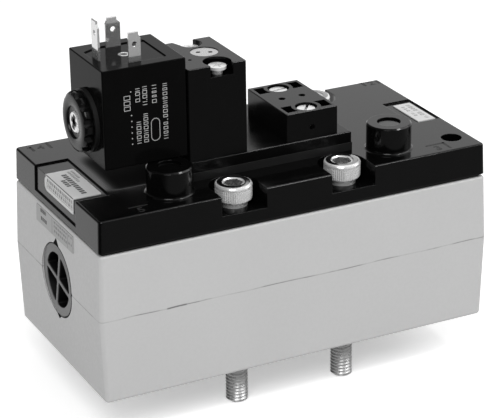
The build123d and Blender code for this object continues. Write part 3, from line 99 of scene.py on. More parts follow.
# Studio: white behind and above, dimmer in front, so the front faces stay deep black
studio = {
    "floorLevel": -15.1,
    "floorSize": 6.0,           # metres
    "floorColour": 0.80,
    "floorGlow": 0.42,          # added for the camera, so the floor comes out white
    "ambient": 0.52,
    "mirrorBack": 1.0,          # what gloss sees behind and above
    "mirrorFront": 0.30,        # and in front
    "leftShare": 0.12,          # share of it that is left on the left side
    # where the sky changes from front to back, from side to top and from left to right
    "skyBack": (-0.5, 0.3),
    "skyTop": (0.25, 0.8),
    "skyRight": (-0.15, 0.2),
    # the same for the floor, in metres; behind the last pair its left side isn't dimmed
    "floorBack": (-0.16, 0.06),
    "floorRight": (-0.24, -0.14),
    "floorBehind": (0.0, 0.08),
}


def link(tree, fromSocket, toSocket):
    tree.links.new(fromSocket, toSocket)


def mathNode(tree, kind, first, second):
    node = tree.nodes.new("ShaderNodeMath")
    node.operation = kind
    for place, value in enumerate((first, second)):
        if isinstance(value, (int, float)):
            node.inputs[place].default_value = value
        else:
            link(tree, value, node.inputs[place])
    return node.outputs[0]


def rangeNode(tree, value, fromLow, fromHigh, toLow, toHigh, smooth=True):
    node = tree.nodes.new("ShaderNodeMapRange")
    node.interpolation_type = "SMOOTHSTEP" if smooth else "LINEAR"
    node.inputs["From Min"].default_value = fromLow
    node.inputs["From Max"].default_value = fromHigh
    node.inputs["To Min"].default_value = toLow
    node.inputs["To Max"].default_value = toHigh
    link(tree, value, node.inputs["Value"])
    return node.outputs["Result"]


def splitPlace(tree, kind="Object"):
    coordinates = tree.nodes.new("ShaderNodeTexCoord")
    split = tree.nodes.new("ShaderNodeSeparateXYZ")
    link(tree, coordinates.outputs[kind], split.inputs[0])
    return split.outputs


def rayKinds(tree):
    path = tree.nodes.new("ShaderNodeLightPath")
    shiny = mathNode(
        tree, "MAXIMUM", path.outputs["Is Glossy Ray"], path.outputs["Is Transmission Ray"]
    )
    return shiny, path.outputs["Is Camera Ray"]


def buildWorld():
    world = bpy.data.worlds.new("studioWorld")
    bpy.context.scene.world = world
    world.use_nodes = True
    tree = world.node_tree
    background = tree.nodes["Background"]
    background.inputs["Color"].default_value = (1, 1, 1, 1)
    shiny, toCamera = rayKinds(tree)
    way = splitPlace(tree, "Generated")
    gloss = rangeNode(
        tree, way["Y"], *studio["skyBack"], studio["mirrorFront"], studio["mirrorBack"]
    )
    above = rangeNode(tree, way["Z"], *studio["skyTop"], 0, studio["mirrorBack"])
    gloss = mathNode(tree, "MAXIMUM", gloss, above)
    leftSide = rangeNode(tree, way["X"], *studio["skyRight"], studio["leftShare"], 1)
    gloss = mathNode(tree, "MULTIPLY", gloss, leftSide)
    glossPart = mathNode(tree, "MULTIPLY", gloss, shiny)
    dull = mathNode(tree, "SUBTRACT", 1, shiny)
    dullPart = mathNode(tree, "MULTIPLY", dull, studio["ambient"])
    light = mathNode(tree, "ADD", glossPart, dullPart)
    link(tree, mathNode(tree, "MAXIMUM", light, toCamera), background.inputs["Strength"])


def buildFloor():
    bpy.ops.mesh.primitive_plane_add(
        size=studio["floorSize"], location=(0, 0, studio["floorLevel"] * mm)
    )
    floor = bpy.context.object
    floor.name = "studioFloor"
    material = bpy.data.materials.new("studioFloor")
    material.use_nodes = True
    tree = material.node_tree
    tree.nodes.clear()
    output = tree.nodes.new("ShaderNodeOutputMaterial")
    diffuse = tree.nodes.new("ShaderNodeBsdfDiffuse")
    pale = studio["floorColour"]
    diffuse.inputs["Color"].default_value = (pale, pale, pale, 1)
    dark = tree.nodes.new("ShaderNodeBsdfDiffuse")
    dark.inputs["Color"].default_value = (0, 0, 0, 1)
    glow = tree.nodes.new("ShaderNodeEmission")
    shiny, toCamera = rayKinds(tree)
    place = splitPlace(tree)
    gloss = rangeNode(
        tree, place["Y"], *studio["floorBack"], studio["mirrorFront"], studio["mirrorBack"]
    )
    leftSide = rangeNode(tree, place["X"], *studio["floorRight"], studio["leftShare"], 1)
    behind = rangeNode(tree, place["Y"], *studio["floorBehind"], 0, 1)
    gloss = mathNode(tree, "MULTIPLY", gloss, mathNode(tree, "MAXIMUM", leftSide, behind))
    glossPart = mathNode(tree, "MULTIPLY", gloss, shiny)
    cameraPart = mathNode(tree, "MULTIPLY", toCamera, studio["floorGlow"])
    link(tree, mathNode(tree, "ADD", glossPart, cameraPart), glow.inputs["Strength"])
    lit = tree.nodes.new("ShaderNodeMixShader")
    link(tree, shiny, lit.inputs["Fac"])
    link(tree, diffuse.outputs[0], lit.inputs[1])
    link(tree, dark.outputs[0], lit.inputs[2])
    both = tree.nodes.new("ShaderNodeAddShader")
    link(tree, lit.outputs[0], both.inputs[0])
    link(tree, glow.outputs[0], both.inputs[1])
    link(tree, both.outputs[0], output.inputs["Surface"])
    floor.data.materials.append(material)


# Lamps, with their places and sizes in metres
lamps = {
    "key": {"place": (-0.48, -0.70, 0.93), "size": 0.7, "power": 7.0, "shine": 0.25},
    "fill": {"place": (0.9, -0.25, 0.7), "size": 0.8, "power": 3.5, "shine": 0.25},
    "rim": {"place": (0.45, -0.42, 0.90), "size": 0.22, "power": 2.2, "shine": 1.0},
}


def addLamp(name, lamp):
    data = bpy.data.lights.new(name + "Lamp", "AREA")
    data.shape = "DISK"
    data.size = lamp["size"]
    data.energy = lamp["power"]
    data.specular_factor = lamp["shine"]
    light = bpy.data.objects.new(name + "Lamp", data)
    bpy.context.collection.objects.link(light)
    light.location = lamp["place"]
    light.rotation_euler = (-Vector(lamp["place"])).to_track_quat("-Z", "Y").to_euler()


buildWorld()
buildFloor()
for lampName, lampSizes in lamps.items():
    addLamp(lampName, lampSizes)
print("studio built")


# Finishes
noiseSpan = (0.3, 0.7)          # most values of a noise lie between these
bumpStrength = {"plain": 0.5, "cast": 0.45, "cap": 0.4, "metal": 0.4, "paper": 0.3}


def newMaterial(name, metallic=0.0, specular=0.5):
    material = bpy.data.materials.new(name)
    material.use_nodes = True
    shader = material.node_tree.nodes["Principled BSDF"]
    shader.inputs["Metallic"].default_value = metallic
    shader.inputs["Specular IOR Level"].default_value = specular
    return material, material.node_tree, shader


def noiseNode(tree, scale, detail=3.0, stretch=(1, 1, 1)):
    coordinates = tree.nodes.new("ShaderNodeTexCoord")
    mapping = tree.nodes.new("ShaderNodeMapping")
    mapping.inputs["Scale"].default_value = stretch
    link(tree, coordinates.outputs["Object"], mapping.inputs["Vector"])
    noise = tree.nodes.new("ShaderNodeTexNoise")
    noise.inputs["Scale"].default_value = scale
    noise.inputs["Detail"].default_value = detail
    link(tree, mapping.outputs["Vector"], noise.inputs["Vector"])
    return noise.outputs["Fac"]


def mixColours(tree, amount, first, second):
    mix = tree.nodes.new("ShaderNodeMix")
    mix.data_type = "RGBA"
    for name, value in (("A", first), ("B", second)):
        socket = [s for s in mix.inputs if s.name == name and s.type == "RGBA"][0]
        if isinstance(value, tuple):
            socket.default_value = value + (1,)
        else:
            link(tree, value, socket)
    link(tree, amount, mix.inputs["Factor"])
    return [s for s in mix.outputs if s.type == "RGBA"][0]


def grey(level):
    return (level, level, level)


def roundedNormal(tree, radius, samples=6):
    bevel = tree.nodes.new("ShaderNodeBevel")
    bevel.samples = samples
    bevel.inputs["Radius"].default_value = radius * mm
    return bevel.outputs["Normal"]


def addBump(tree, shader, height, strength, distance, normal=None):
    bump = tree.nodes.new("ShaderNodeBump")
    bump.inputs["Strength"].default_value = strength
    bump.inputs["Distance"].default_value = distance * mm
    link(tree, height, bump.inputs["Height"])
    if normal is not None:
        link(tree, normal, bump.inputs["Normal"])
    link(tree, bump.outputs["Normal"], shader.inputs["Normal"])


def setColour(tree, shader, amount, first, second):
    link(tree, mixColours(tree, amount, first, second), shader.inputs["Base Color"])


def setRoughness(tree, shader, marks, smooth, rough):
    roughness = rangeNode(tree, marks, *noiseSpan, smooth, rough)
    link(tree, roughness, shader.inputs["Roughness"])
    return roughness


plainFinishes = {
    # name: (dark, light, roughness low, high, metallic, specular, grain scale, bump depth, edge)
    "cover_black": (0.0012, 0.0020, 0.11, 0.16, 0, 0.25, 3200, 0.0025, 0.30),
    "pilot_black": (0.0012, 0.0020, 0.14, 0.20, 0, 0.17, 3600, 0.0030, 0.22),
    "coil_black": (0.0022, 0.0032, 0.10, 0.16, 0, 0.042, 4200, 0.0025, 0.22),
    "nut_black": (0.0016, 0.0028, 0.18, 0.28, 0, 0.24, 3600, 0.0040, 0.15),
    "button_black": (0.0015, 0.0025, 0.15, 0.22, 0, 0.44, 3600, 0.0040, 0.10),
    "rail_black": (0.0012, 0.0020, 0.18, 0.26, 0, 0.17, 3600, 0.0030, 0.45),
    "rubber": (0.0060, 0.0100, 0.45, 0.60, 0, 0.30, 2600, 0.0080, 0.10),
    "inner_plastic": (0.10, 0.13, 0.35, 0.50, 0, 0.45, 2400, 0.0060, 0.10),
    "brass": (0.42, 0.52, 0.22, 0.34, 1, 0.50, 2200, 0.0020, 0.05),
    "copper": (0.40, 0.50, 0.25, 0.38, 1, 0.50, 2600, 0.0060, 0.05),
}
tints = {"brass": (1.25, 1.0, 0.55), "copper": (1.5, 0.75, 0.5)}
grainsPerPatch = 40             # how much broader the patches of colour are than the grain


# The cover's top is matt where the coil hangs over it
mattPatch = {
    "rough": 1.0,
    # (axis, low, softness below it, high, softness above it)
    "sides": (("X", -55, 7, -31, 3), ("Y", -13.5, 3, 10, 14)),
}


def mattShare(tree):
    place = splitPlace(tree)
    share = mattPatch["rough"]
    for axis, low, before, high, after in mattPatch["sides"]:
        rise = rangeNode(tree, place[axis], (low - before) * mm, low * mm, 0, 1)
        fall = rangeNode(tree, place[axis], high * mm, (high + after) * mm, 1, 0)
        share = mathNode(tree, "MULTIPLY", mathNode(tree, "MULTIPLY", rise, fall), share)
    return share


def plainFinish(name):
    dark, light, smooth, rough, metallic, specular, scale, depth, edge = plainFinishes[name]
    material, tree, shader = newMaterial(name, metallic, specular)
    broad = noiseNode(tree, scale / grainsPerPatch, 2.0)
    tint = tints.get(name, (1, 1, 1))
    darkColour = tuple(dark * part for part in tint)
    lightColour = tuple(light * part for part in tint)
    setColour(tree, shader, broad, darkColour, lightColour)
    roughness = setRoughness(tree, shader, broad, smooth, rough)
    if name == "cover_black":
        roughness = mathNode(tree, "MAXIMUM", roughness, mattShare(tree))
        link(tree, roughness, shader.inputs["Roughness"])
    grain = noiseNode(tree, scale, 4.0)
    addBump(tree, shader, grain, bumpStrength["plain"], depth, roundedNormal(tree, edge))
    return material


# Cast body: fine grain, and a thin uneven line round its middle, darker along a piece of the front
bodyFinish = {
    "dark": 0.472,
    "light": 0.515,
    "broadScale": 22,
    "fineScale": 900,
    "speck": 0.36,
    "speckShare": 0.06,
    "speckSpan": (0.35, 0.65),
    "smooth": 0.42,
    "rough": 0.56,
    "grain": 0.025,
    "edge": 0.25,
    "lineColour": 0.10,
    "lineLevel": 30.8,
    "lineInner": 0.08,          # full strength up to this distance from its middle
    "lineOuter": 0.304,         # and none from this one
    "lineWobble": 0.22,
    "wobbleScale": 60,
    "patchScale": 110,          # the line's strength changes in patches
    "patchSpan": (0.35, 0.62),
    "patchLeast": 0.25,
    "lineDepth": 0.62,          # how dark the line is
    "lineGroove": 1.5,          # how deep it is, against the grain
    "flashLeft": -50.5,         # where the line is darker
    "flashRight": -44.0,
    "flashFront": -37.0,
    "flashSoft": 1.0,
    "flashInner": 0.15,
    "flashOuter": 0.40,
    "flashDepth": 0.85,
}


def bodyLine(tree):
    # how strong the line is at a place, and how dark with its dark piece
    sizes = bodyFinish
    place = splitPlace(tree)
    most = sizes["lineWobble"] * mm
    wander = noiseNode(tree, sizes["wobbleScale"], 2.0)
    wobble = rangeNode(tree, wander, *noiseSpan, -most, most, False)
    height = mathNode(tree, "SUBTRACT", place["Z"], sizes["lineLevel"] * mm)
    away = mathNode(tree, "ABSOLUTE", mathNode(tree, "ADD", height, wobble), 0)
    patchy = noiseNode(tree, sizes["patchScale"], 3.0)
    weight = rangeNode(tree, patchy, *sizes["patchSpan"], sizes["patchLeast"], 1.0)
    inner, outer = sizes["lineInner"] * mm, sizes["lineOuter"] * mm
    line = rangeNode(tree, away, inner, outer, sizes["lineDepth"], 0.0)
    line = mathNode(tree, "MULTIPLY", line, weight)
    left, right, front = sizes["flashLeft"], sizes["flashRight"], sizes["flashFront"]
    soft = sizes["flashSoft"]
    afterLeft = rangeNode(tree, place["X"], (left - soft) * mm, left * mm, 0, 1)
    beforeRight = rangeNode(tree, place["X"], right * mm, (right + soft) * mm, 1, 0)
    inFront = rangeNode(tree, place["Y"], front * mm, (front + soft) * mm, 1, 0)
    share = mathNode(tree, "MULTIPLY", mathNode(tree, "MULTIPLY", afterLeft, beforeRight), inFront)
    inner, outer = sizes["flashInner"] * mm, sizes["flashOuter"] * mm
    flash = rangeNode(tree, away, inner, outer, sizes["flashDepth"], 0.0)
    return line, mathNode(tree, "MAXIMUM", line, mathNode(tree, "MULTIPLY", share, flash))


def castFinish():
    sizes = bodyFinish
    material, tree, shader = newMaterial("body_grey", 0, 0.35)
    broad = noiseNode(tree, sizes["broadScale"], 3.0)
    fine = noiseNode(tree, sizes["fineScale"], 4.0)
    base = mixColours(tree, broad, grey(sizes["dark"]), grey(sizes["light"]))
    specks = rangeNode(tree, fine, *sizes["speckSpan"], 0.0, sizes["speckShare"])
    base = mixColours(tree, specks, base, grey(sizes["speck"]))
    line, darkness = bodyLine(tree)
    setColour(tree, shader, darkness, base, grey(sizes["lineColour"]))
    setRoughness(tree, shader, fine, sizes["smooth"], sizes["rough"])
    groove = mathNode(tree, "MULTIPLY", line, sizes["lineGroove"])
    grain = mathNode(tree, "SUBTRACT", fine, groove)
    rounded = roundedNormal(tree, sizes["edge"])
    addBump(tree, shader, grain, bumpStrength["cast"], sizes["grain"], rounded)
    return material


# End cap: grey moulding, with painted shade: black inside its pockets, where they lie in shadow
capFinish = {
    "dark": 0.1125,
    "light": 0.135,
    # the black of the painted shade inside the pockets
    "inside": 0.003,
    "shadeStartDepth": 0.03,           # the painted shade starts at this depth below the cap's face
    "shadeFullDepth": 0.5,              # and is full at this one
    "smooth": 0.38,
    "rough": 0.5,
    "broadScale": 90,
    "grainScale": 2600,
    "grain": 0.006,
    "edge": 0.2,
}


def capMaterial():
    sizes = capFinish
    material, tree, shader = newMaterial("cap_grey", 0, 0.4)
    along = mathNode(tree, "ABSOLUTE", splitPlace(tree)["X"], 0)
    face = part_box("right_end_cap")[1].x
    # painted shade: the colour turns black with depth below the cap's face, for the shadow in the
    # pockets
    depth = mathNode(tree, "SUBTRACT", face, along)
    inside = rangeNode(tree, depth, sizes["shadeStartDepth"] * mm, sizes["shadeFullDepth"] * mm, 0, 1)
    broad = noiseNode(tree, sizes["broadScale"], 2.0)
    outer = mixColours(tree, broad, grey(sizes["dark"]), grey(sizes["light"]))
    setColour(tree, shader, inside, outer, grey(sizes["inside"]))
    setRoughness(tree, shader, broad, sizes["smooth"], sizes["rough"])
    grain = noiseNode(tree, sizes["grainScale"], 3.0)
    rounded = roundedNormal(tree, sizes["edge"])
    addBump(tree, shader, grain, bumpStrength["cap"], sizes["grain"], rounded)
    return material


# Metals: fine turning or brushing marks, stretched along one direction
metalFinishes = {
    # name: (dark, light, roughness low, high, metallic, stretch, scale, bump depth, edge)
    "screw_steel": (0.76, 0.86, 0.20, 0.30, 0.55, (1, 1, 4), 420, 0.0004, 0),
    # the socket's and the flat top's steels are darker copies of the screws' steel, painted shade;
    # the top's is also smoother and fully metallic
    "socket_shaded_steel": (0.40, 0.52, 0.20, 0.35, 0.9, (1, 1, 1), 900, 0.0010, 0),
    "top_shaded_steel": (0.24, 0.36, 0.14, 0.24, 1, (1, 1, 1), 900, 0.0006, 0),
    "thread_steel": (0.40, 0.54, 0.25, 0.38, 0.8, (1, 1, 1), 700, 0.0010, 0),
    "spring_steel": (0.42, 0.52, 0.25, 0.38, 1, (1, 1, 1), 2600, 0.0020, 0.02),
    "plug_silver": (0.46, 0.60, 0.22, 0.34, 1, (1, 1, 1), 3000, 0.0020, 0.06),
    "blade_nickel": (0.70, 0.80, 0.05, 0.10, 0.82, (14, 14, 1), 500, 0.0004, 0.08),
    "spool_aluminium": (0.60, 0.72, 0.22, 0.34, 1, (10, 1, 1), 700, 0.0015, 0.05),
}


def metalFinish(name):
    dark, light, smooth, rough, metallic, stretch, scale, depth, edge = metalFinishes[name]
    material, tree, shader = newMaterial(name, metallic, 0.5)
    marks = noiseNode(tree, scale, 3.0, stretch)
    setColour(tree, shader, marks, grey(dark), grey(light))
    setRoughness(tree, shader, marks, smooth, rough)
    rounded = roundedNormal(tree, edge) if edge > 0 else None
    addBump(tree, shader, marks, bumpStrength["metal"], depth, rounded)
    return material


# Paper and print
paperFinishes = {
    # name: (dark, light, roughness, specular)
    "label_white": (0.54, 0.63, 0.42, 0.4),
    "label_grey": (0.30, 0.36, 0.45, 0.4),
    "print_grey": (0.34, 0.50, 0.50, 0.3),
    "print_slate": (0.14, 0.22, 0.45, 0.3),
    "print_black": (0.012, 0.030, 0.40, 0.3),
    "mark_black": (0.0040, 0.0080, 0.50, 0.3),
    # shade_black is painted shade, for the black wedges and crescents at the body's mouths
    "shade_black": (0.0010, 0.0020, 0.70, 0.05),
}
fibre = {"scale": 1400, "spread": 0.05, "depth": 0.004}


def paperFinish(name):
    dark, light, rough, specular = paperFinishes[name]
    material, tree, shader = newMaterial(name, 0, specular)
    fibres = noiseNode(tree, fibre["scale"], 4.0)
    setColour(tree, shader, fibres, grey(dark), grey(light))
    setRoughness(tree, shader, fibres, rough - fibre["spread"], rough + fibre["spread"])
    addBump(tree, shader, fibres, bumpStrength["paper"], fibre["depth"])
    return material


finishes = {"body_grey": castFinish(), "cap_grey": capMaterial()}
for finishName in plainFinishes:
    finishes[finishName] = plainFinish(finishName)
for finishName in metalFinishes:
    finishes[finishName] = metalFinish(finishName)
for finishName in paperFinishes:
    finishes[finishName] = paperFinish(finishName)
finishChanges = {"base_plate": "rail_black"}    # pieces whose finish isn't their slot's
recordSlots = set()
for row in frame["record"]["subparts"]:
    recordSlots.add(row["material_slot"])
    nodeObject = frame["nodes"][row["node"]]
    finishName = finishChanges.get(row["node"], row["material_slot"])
    nodeObject.data.materials.clear()
    nodeObject.data.materials.append(finishes[finishName])
print("finishes made:", len(finishes))


# Handwork: selecting, placing and finishing
tolerance = 0.001               # vertices this near to a level count as on it


def selectOnly(piece):
    bpy.ops.object.select_all(action="DESELECT")
    piece.select_set(True)
    bpy.context.view_layer.objects.active = piece


def beginEdit(piece):
    selectOnly(piece)
    bpy.ops.object.mode_set(mode="EDIT")
    bpy.ops.mesh.select_mode(type="VERT")


def endEdit():
    bpy.ops.object.mode_set(mode="OBJECT")


def pickVertices(piece, wanted):
    # leaves the piece in edit mode with only the wanted vertices selected
    beginEdit(piece)
    bpy.ops.mesh.select_all(action="DESELECT")
    endEdit()
    for vertex in piece.data.vertices:
        vertex.select = wanted(vertex)
    beginEdit(piece)


def addCircle(name, sides, radius, place, filled=True):
    bpy.ops.object.select_all(action="DESELECT")
    bpy.ops.mesh.primitive_circle_add(
        vertices=sides, radius=radius * mm, location=Vector(place) * mm,
        fill_type="NGON" if filled else "NOTHING",
    )
    bpy.context.object.name = name
    return bpy.context.object


def applyPlace(piece):
    selectOnly(piece)
    bpy.ops.object.transform_apply(location=True, rotation=True, scale=True)


def applyModifier(piece, modifier):
    selectOnly(piece)
    bpy.ops.object.modifier_apply(modifier=modifier.name)


def thicken(distance):
    # draws everything in the piece that is being edited along Z
    bpy.ops.mesh.select_all(action="SELECT")
    bpy.ops.mesh.extrude_region_move(TRANSFORM_OT_translate={"value": (0, 0, distance * mm)})


def tidyNormals(piece, joinWithin=0.0005):
    beginEdit(piece)
    bpy.ops.mesh.select_all(action="SELECT")
    bpy.ops.mesh.remove_doubles(threshold=joinWithin * mm)
    bpy.ops.mesh.normals_make_consistent(inside=False)
    endEdit()


def smoothByAngle(piece, degrees=32):
    selectOnly(piece)
    bpy.ops.object.shade_smooth_by_angle(angle=math.radians(degrees))


def joinPieces(pieces, name):
    bpy.ops.object.select_all(action="DESELECT")
    for piece in pieces:
        piece.select_set(True)
    bpy.context.view_layer.objects.active = pieces[0]
    if len(pieces) > 1:
        bpy.ops.object.join()
    bpy.context.object.name = name
    return bpy.context.object


def copyPiece(piece, name, place=(0, 0, 0), turn=0):
    copy = bpy.data.objects.new(name, piece.data.copy())
    bpy.context.collection.objects.link(copy)
    copy.location = Vector(place) * mm
    copy.rotation_euler = (0, 0, math.radians(turn))
    applyPlace(copy)
    return copy


def removePiece(piece):
    bpy.data.objects.remove(piece, do_unlink=True)


def turnedPiece(name, rings, sides):
    # rings are (level, radius), from one end to the other
    level, radius = rings[0]
    piece = addCircle(name, sides, radius, (0, 0, level))
    applyPlace(piece)
    beginEdit(piece)
    bpy.ops.mesh.select_all(action="SELECT")
    for nextLevel, nextRadius in rings[1:]:
        rise = (nextLevel - level) * mm
        bpy.ops.mesh.extrude_region_move(TRANSFORM_OT_translate={"value": (0, 0, rise)})
        ratio = nextRadius / radius
        bpy.ops.transform.resize(value=(ratio, ratio, 1), center_override=(0, 0, nextLevel * mm))
        level, radius = nextLevel, nextRadius
    endEdit()
    return piece


def openRing(piece, sides):
    # a turned piece whose first and last rings meet becomes a tube
    ends = set()
    for polygon in piece.data.polygons:
        if len(polygon.vertices) == sides:
            ends.update(polygon.vertices)
    pickVertices(piece, lambda vertex: vertex.index in ends)
    bpy.ops.mesh.delete(type="ONLY_FACE")
    endEdit()
    tidyNormals(piece)


def layAlong(piece, place, axis, across):
    # turns a piece made about Z so that its Z lies along axis and its X along across
    upward = Vector(axis).normalized()
    sideways = Vector(across).normalized()
    matrix = Matrix((sideways, upward.cross(sideways), upward)).transposed().to_4x4()
    matrix.translation = Vector(place) * mm
    piece.matrix_world = matrix
    applyPlace(piece)


def softenEdges(piece, width, degrees, segments=2):
    bevel = piece.modifiers.new("soften", "BEVEL")
    bevel.width = width * mm
    bevel.segments = segments
    bevel.limit_method = "ANGLE"
    bevel.angle_limit = math.radians(degrees)
    bevel.use_clamp_overlap = True
    applyModifier(piece, bevel)


def makeCutter(name, sides, radius, place, height):
    cutter = addCircle(name, sides, radius, place)
    applyPlace(cutter)
    beginEdit(cutter)
    thicken(height)
    endEdit()
    tidyNormals(cutter)
    return cutter


def cutWith(piece, cutter):
    cut = piece.modifiers.new("cut", "BOOLEAN")
    cut.operation = "DIFFERENCE"
    cut.solver = "EXACT"
    cut.object = cutter
    applyModifier(piece, cut)
    removePiece(cutter)


def threadRidge(name, root, depth, pitch, low, high, steps=24):
    # a square on its corner is wound up round Z and cut level at both ends
    ridge = addCircle(name, 4, pitch / 2, (0, 0, 0), False)
    beginEdit(ridge)
    bpy.ops.mesh.select_all(action="SELECT")
    bpy.ops.transform.rotate(
        value=math.radians(90), orient_axis="X", center_override=(0, 0, 0)
    )
    bpy.ops.transform.resize(value=(depth / (pitch / 2), 1, 1), center_override=(0, 0, 0))
    bpy.ops.transform.translate(value=(root * mm, 0, (low - pitch) * mm))
    endEdit()
    winding = ridge.modifiers.new("winding", "SCREW")
    winding.axis = "Z"
    winding.angle = math.radians(360)
    winding.screw_offset = pitch * mm
    winding.iterations = math.ceil((high - low) / pitch) + 2
    winding.steps = steps
    winding.render_steps = steps
    winding.use_merge_vertices = False
    winding.use_smooth_shade = False
    applyModifier(ridge, winding)
    beginEdit(ridge)
    for level, up in ((low, -1), (high, 1)):
        bpy.ops.mesh.select_all(action="SELECT")
        bpy.ops.mesh.bisect(
            plane_co=(0, 0, level * mm), plane_no=(0, 0, up), use_fill=True, clear_outer=True
        )
    endEdit()
    return ridge


def finishPiece(piece, finish, body, replaced=None, degrees=32):
    tidyNormals(piece)
    smoothByAngle(piece, degrees)
    piece.data.materials.clear()
    piece.data.materials.append(finishes[finish])
    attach(piece, body)
    if replaced:
        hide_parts(replaced)


# Mounting screws: knurled heads with a hexagon socket, on a plain collar, threaded below
mountingScrew = {
    # (X, Y, how far its socket is turned)
    "places": ((-21.0, -29.7, 14), (21.0, -29.7, -8), (-42.6, 31.9, 31), (42.6, 31.9, 3)),
    "teeth": 54,
    "toothDepth": 0.965,        # radius between two teeth, as a share
    "knurlLow": 62.5,
    "knurlHigh": 66.55,
    "socketWidth": 6.0,
    "socketDepth": 4.0,
    "cutAbove": 2.0,            # the socket's cutter starts this far above the head
    "headTop": 67.9,
    # (level, radius) from below the collar to the rim of the socket
    "head": (
        (-0.2, 3.45), (59.8, 3.45), (59.8, 4.8), (61.8, 4.8), (61.8, 5.7), (62.2, 6.25),
        (62.6, 6.42), (66.35, 6.42), (66.45, 6.22), (66.65, 6.46), (67.2, 6.46),
        (67.65, 6.2), (67.9, 5.7), (67.9, 4.0), (67.8, 3.9), (67.5, 3.55),
    ),
    "socketReach": 3.52,        # faces nearer to the axis and below the rim get the socket's steel, a darker copy: painted shade
    "socketRim": 67.45,
    "topLevel": 67.85,          # faces above this level get the flat top's steel, a darker copy: painted shade
    "smoothAngle": 28,
    # the threaded end
    "shank": ((-15.1, 2.9), (-14.5, 3.5), (-0.2, 3.5)),
    "shankSides": 48,
    "threadRoot": 3.4,
    "threadDepth": 0.6,
    "threadPitch": 1.25,
    "threadLow": -14.7,
    "threadHigh": -0.25,
}


def buildMountingScrews():
    sizes = mountingScrew
    sides = sizes["teeth"] * 2
    head = turnedPiece("screwHead", sizes["head"], sides)

    def inKnurl(vertex):
        step = round(math.atan2(vertex.co.y, vertex.co.x) / (2 * math.pi / sides))
        return sizes["knurlLow"] < vertex.co.z / mm < sizes["knurlHigh"] and step % 2 == 0

    pickVertices(head, inKnurl)
    bpy.ops.transform.resize(
        value=(sizes["toothDepth"], sizes["toothDepth"], 1), center_override=(0, 0, 0)
    )
    endEdit()
    tidyNormals(head)
    cutWith(head, makeCutter(
        "socketCutter", 6, sizes["socketWidth"] / math.sqrt(3),
        (0, 0, sizes["headTop"] + sizes["cutAbove"]), -(sizes["socketDepth"] + sizes["cutAbove"]),
    ))
    shank = turnedPiece("screwShank", sizes["shank"], sizes["shankSides"])
    tidyNormals(shank)
    ridge = threadRidge(
        "screwThread", sizes["threadRoot"], sizes["threadDepth"], sizes["threadPitch"],
        sizes["threadLow"], sizes["threadHigh"],
    )
    pattern = joinPieces([head, shank, ridge], "screwPattern")
    copies = []
    for count, (x, y, turn) in enumerate(sizes["places"]):
        copies.append(copyPiece(pattern, "mountingScrew" + str(count + 1), (x, y, 0), turn))
    removePiece(pattern)
    screws = joinPieces(copies, "mountingScrews")
    finishPiece(screws, "screw_steel", "housing", "mounting_screws", sizes["smoothAngle"])
    # the socket's and the flat top's steels are darker copies: painted shade
    steels = {"socket_shaded_steel": 1, "thread_steel": 2, "top_shaded_steel": 3}
    for finish in steels:
        screws.data.materials.append(finishes[finish])
    axes = [Vector((x, y, 0)) * mm for x, y, turn in sizes["places"]]
    for polygon in screws.data.polygons:
        across = min((polygon.center.xy - axis.xy).length for axis in axes)
        if polygon.center.z < 0:
            polygon.material_index = steels["thread_steel"]
        elif across < sizes["socketReach"] * mm and polygon.center.z < sizes["socketRim"] * mm:
            polygon.material_index = steels["socket_shaded_steel"]
        elif polygon.center.z > sizes["topLevel"] * mm:
            polygon.material_index = steels["top_shaded_steel"]


buildMountingScrews()
print("mounting screws made")

# Coil nut: a fluted knob with a flat face and a sunk ring round the stem
coilNut = {
    "place": (-65.2, -6.3, 90.2),
    "sides": 144,
    # (distance from its inner face, radius)
    "rings": (
        (0.0, 3.9), (0.0, 9.9), (0.3, 10.3), (0.7, 10.5), (2.3, 10.5), (2.9, 10.3), (3.35, 9.85),
        (3.65, 9.2), (3.8, 8.4), (3.8, 5.9), (3.6, 5.6), (3.0, 5.5), (3.0, 3.9), (0.0, 3.9),
    ),
    "flutes": 12,
    "fluteSides": 28,
    "fluteRadius": 1.75,
    "fluteCentre": 11.25,
    "fluteStart": -1.0,
    "fluteLength": 6.0,
    "edge": 0.12,
    "edgeAngle": 40,
    "smoothAngle": 40,
}


def buildCoilNut():
    sizes = coilNut
    nut = turnedPiece("coilNut", sizes["rings"], sizes["sides"])
    openRing(nut, sizes["sides"])
    cutters = []
    for count in range(sizes["flutes"]):
        angle = math.radians(360 / sizes["flutes"] * (count + 0.5))
        x = sizes["fluteCentre"] * math.cos(angle)
        y = sizes["fluteCentre"] * math.sin(angle)
        cutters.append(makeCutter(
            "fluteCutter", sizes["fluteSides"], sizes["fluteRadius"], (x, y, sizes["fluteStart"]),
            sizes["fluteLength"],
        ))
    cutWith(nut, joinPieces(cutters, "fluteCutters"))
    softenEdges(nut, sizes["edge"], sizes["edgeAngle"])
    layAlong(nut, sizes["place"], (-1, 0, 0), (0, 1, 0))
    finishPiece(nut, "nut_black", "housing", "coil_nut", sizes["smoothAngle"])


buildCoilNut()
print("coil nut made")


# Flat marks: bars, dots and outlines, laid on a face and given a little thickness
def beginMarks(name):
    bpy.ops.object.select_all(action="DESELECT")
    mesh = bpy.data.meshes.new(name)
    piece = bpy.data.objects.new(name, mesh)
    bpy.context.collection.objects.link(piece)
    beginEdit(piece)
    return piece


def addBar(left, low, right, high):
    place = ((left + right) / 2 * mm, (low + high) / 2 * mm, 0)
    bpy.ops.mesh.primitive_plane_add(size=mm, location=place)
    bpy.ops.transform.resize(value=(right - left, high - low, 1), center_override=place)


def addDot(x, y, radius, sides=16):
    bpy.ops.mesh.primitive_circle_add(
        vertices=sides, radius=radius * mm, location=(x * mm, y * mm, 0), fill_type="NGON"
    )


def addFrame(left, low, right, high, width):
    addBar(left, low, right, low + width)
    addBar(left, high - width, right, high)
    addBar(left, low + width, left + width, high - width)
    addBar(right - width, low + width, right, high - width)


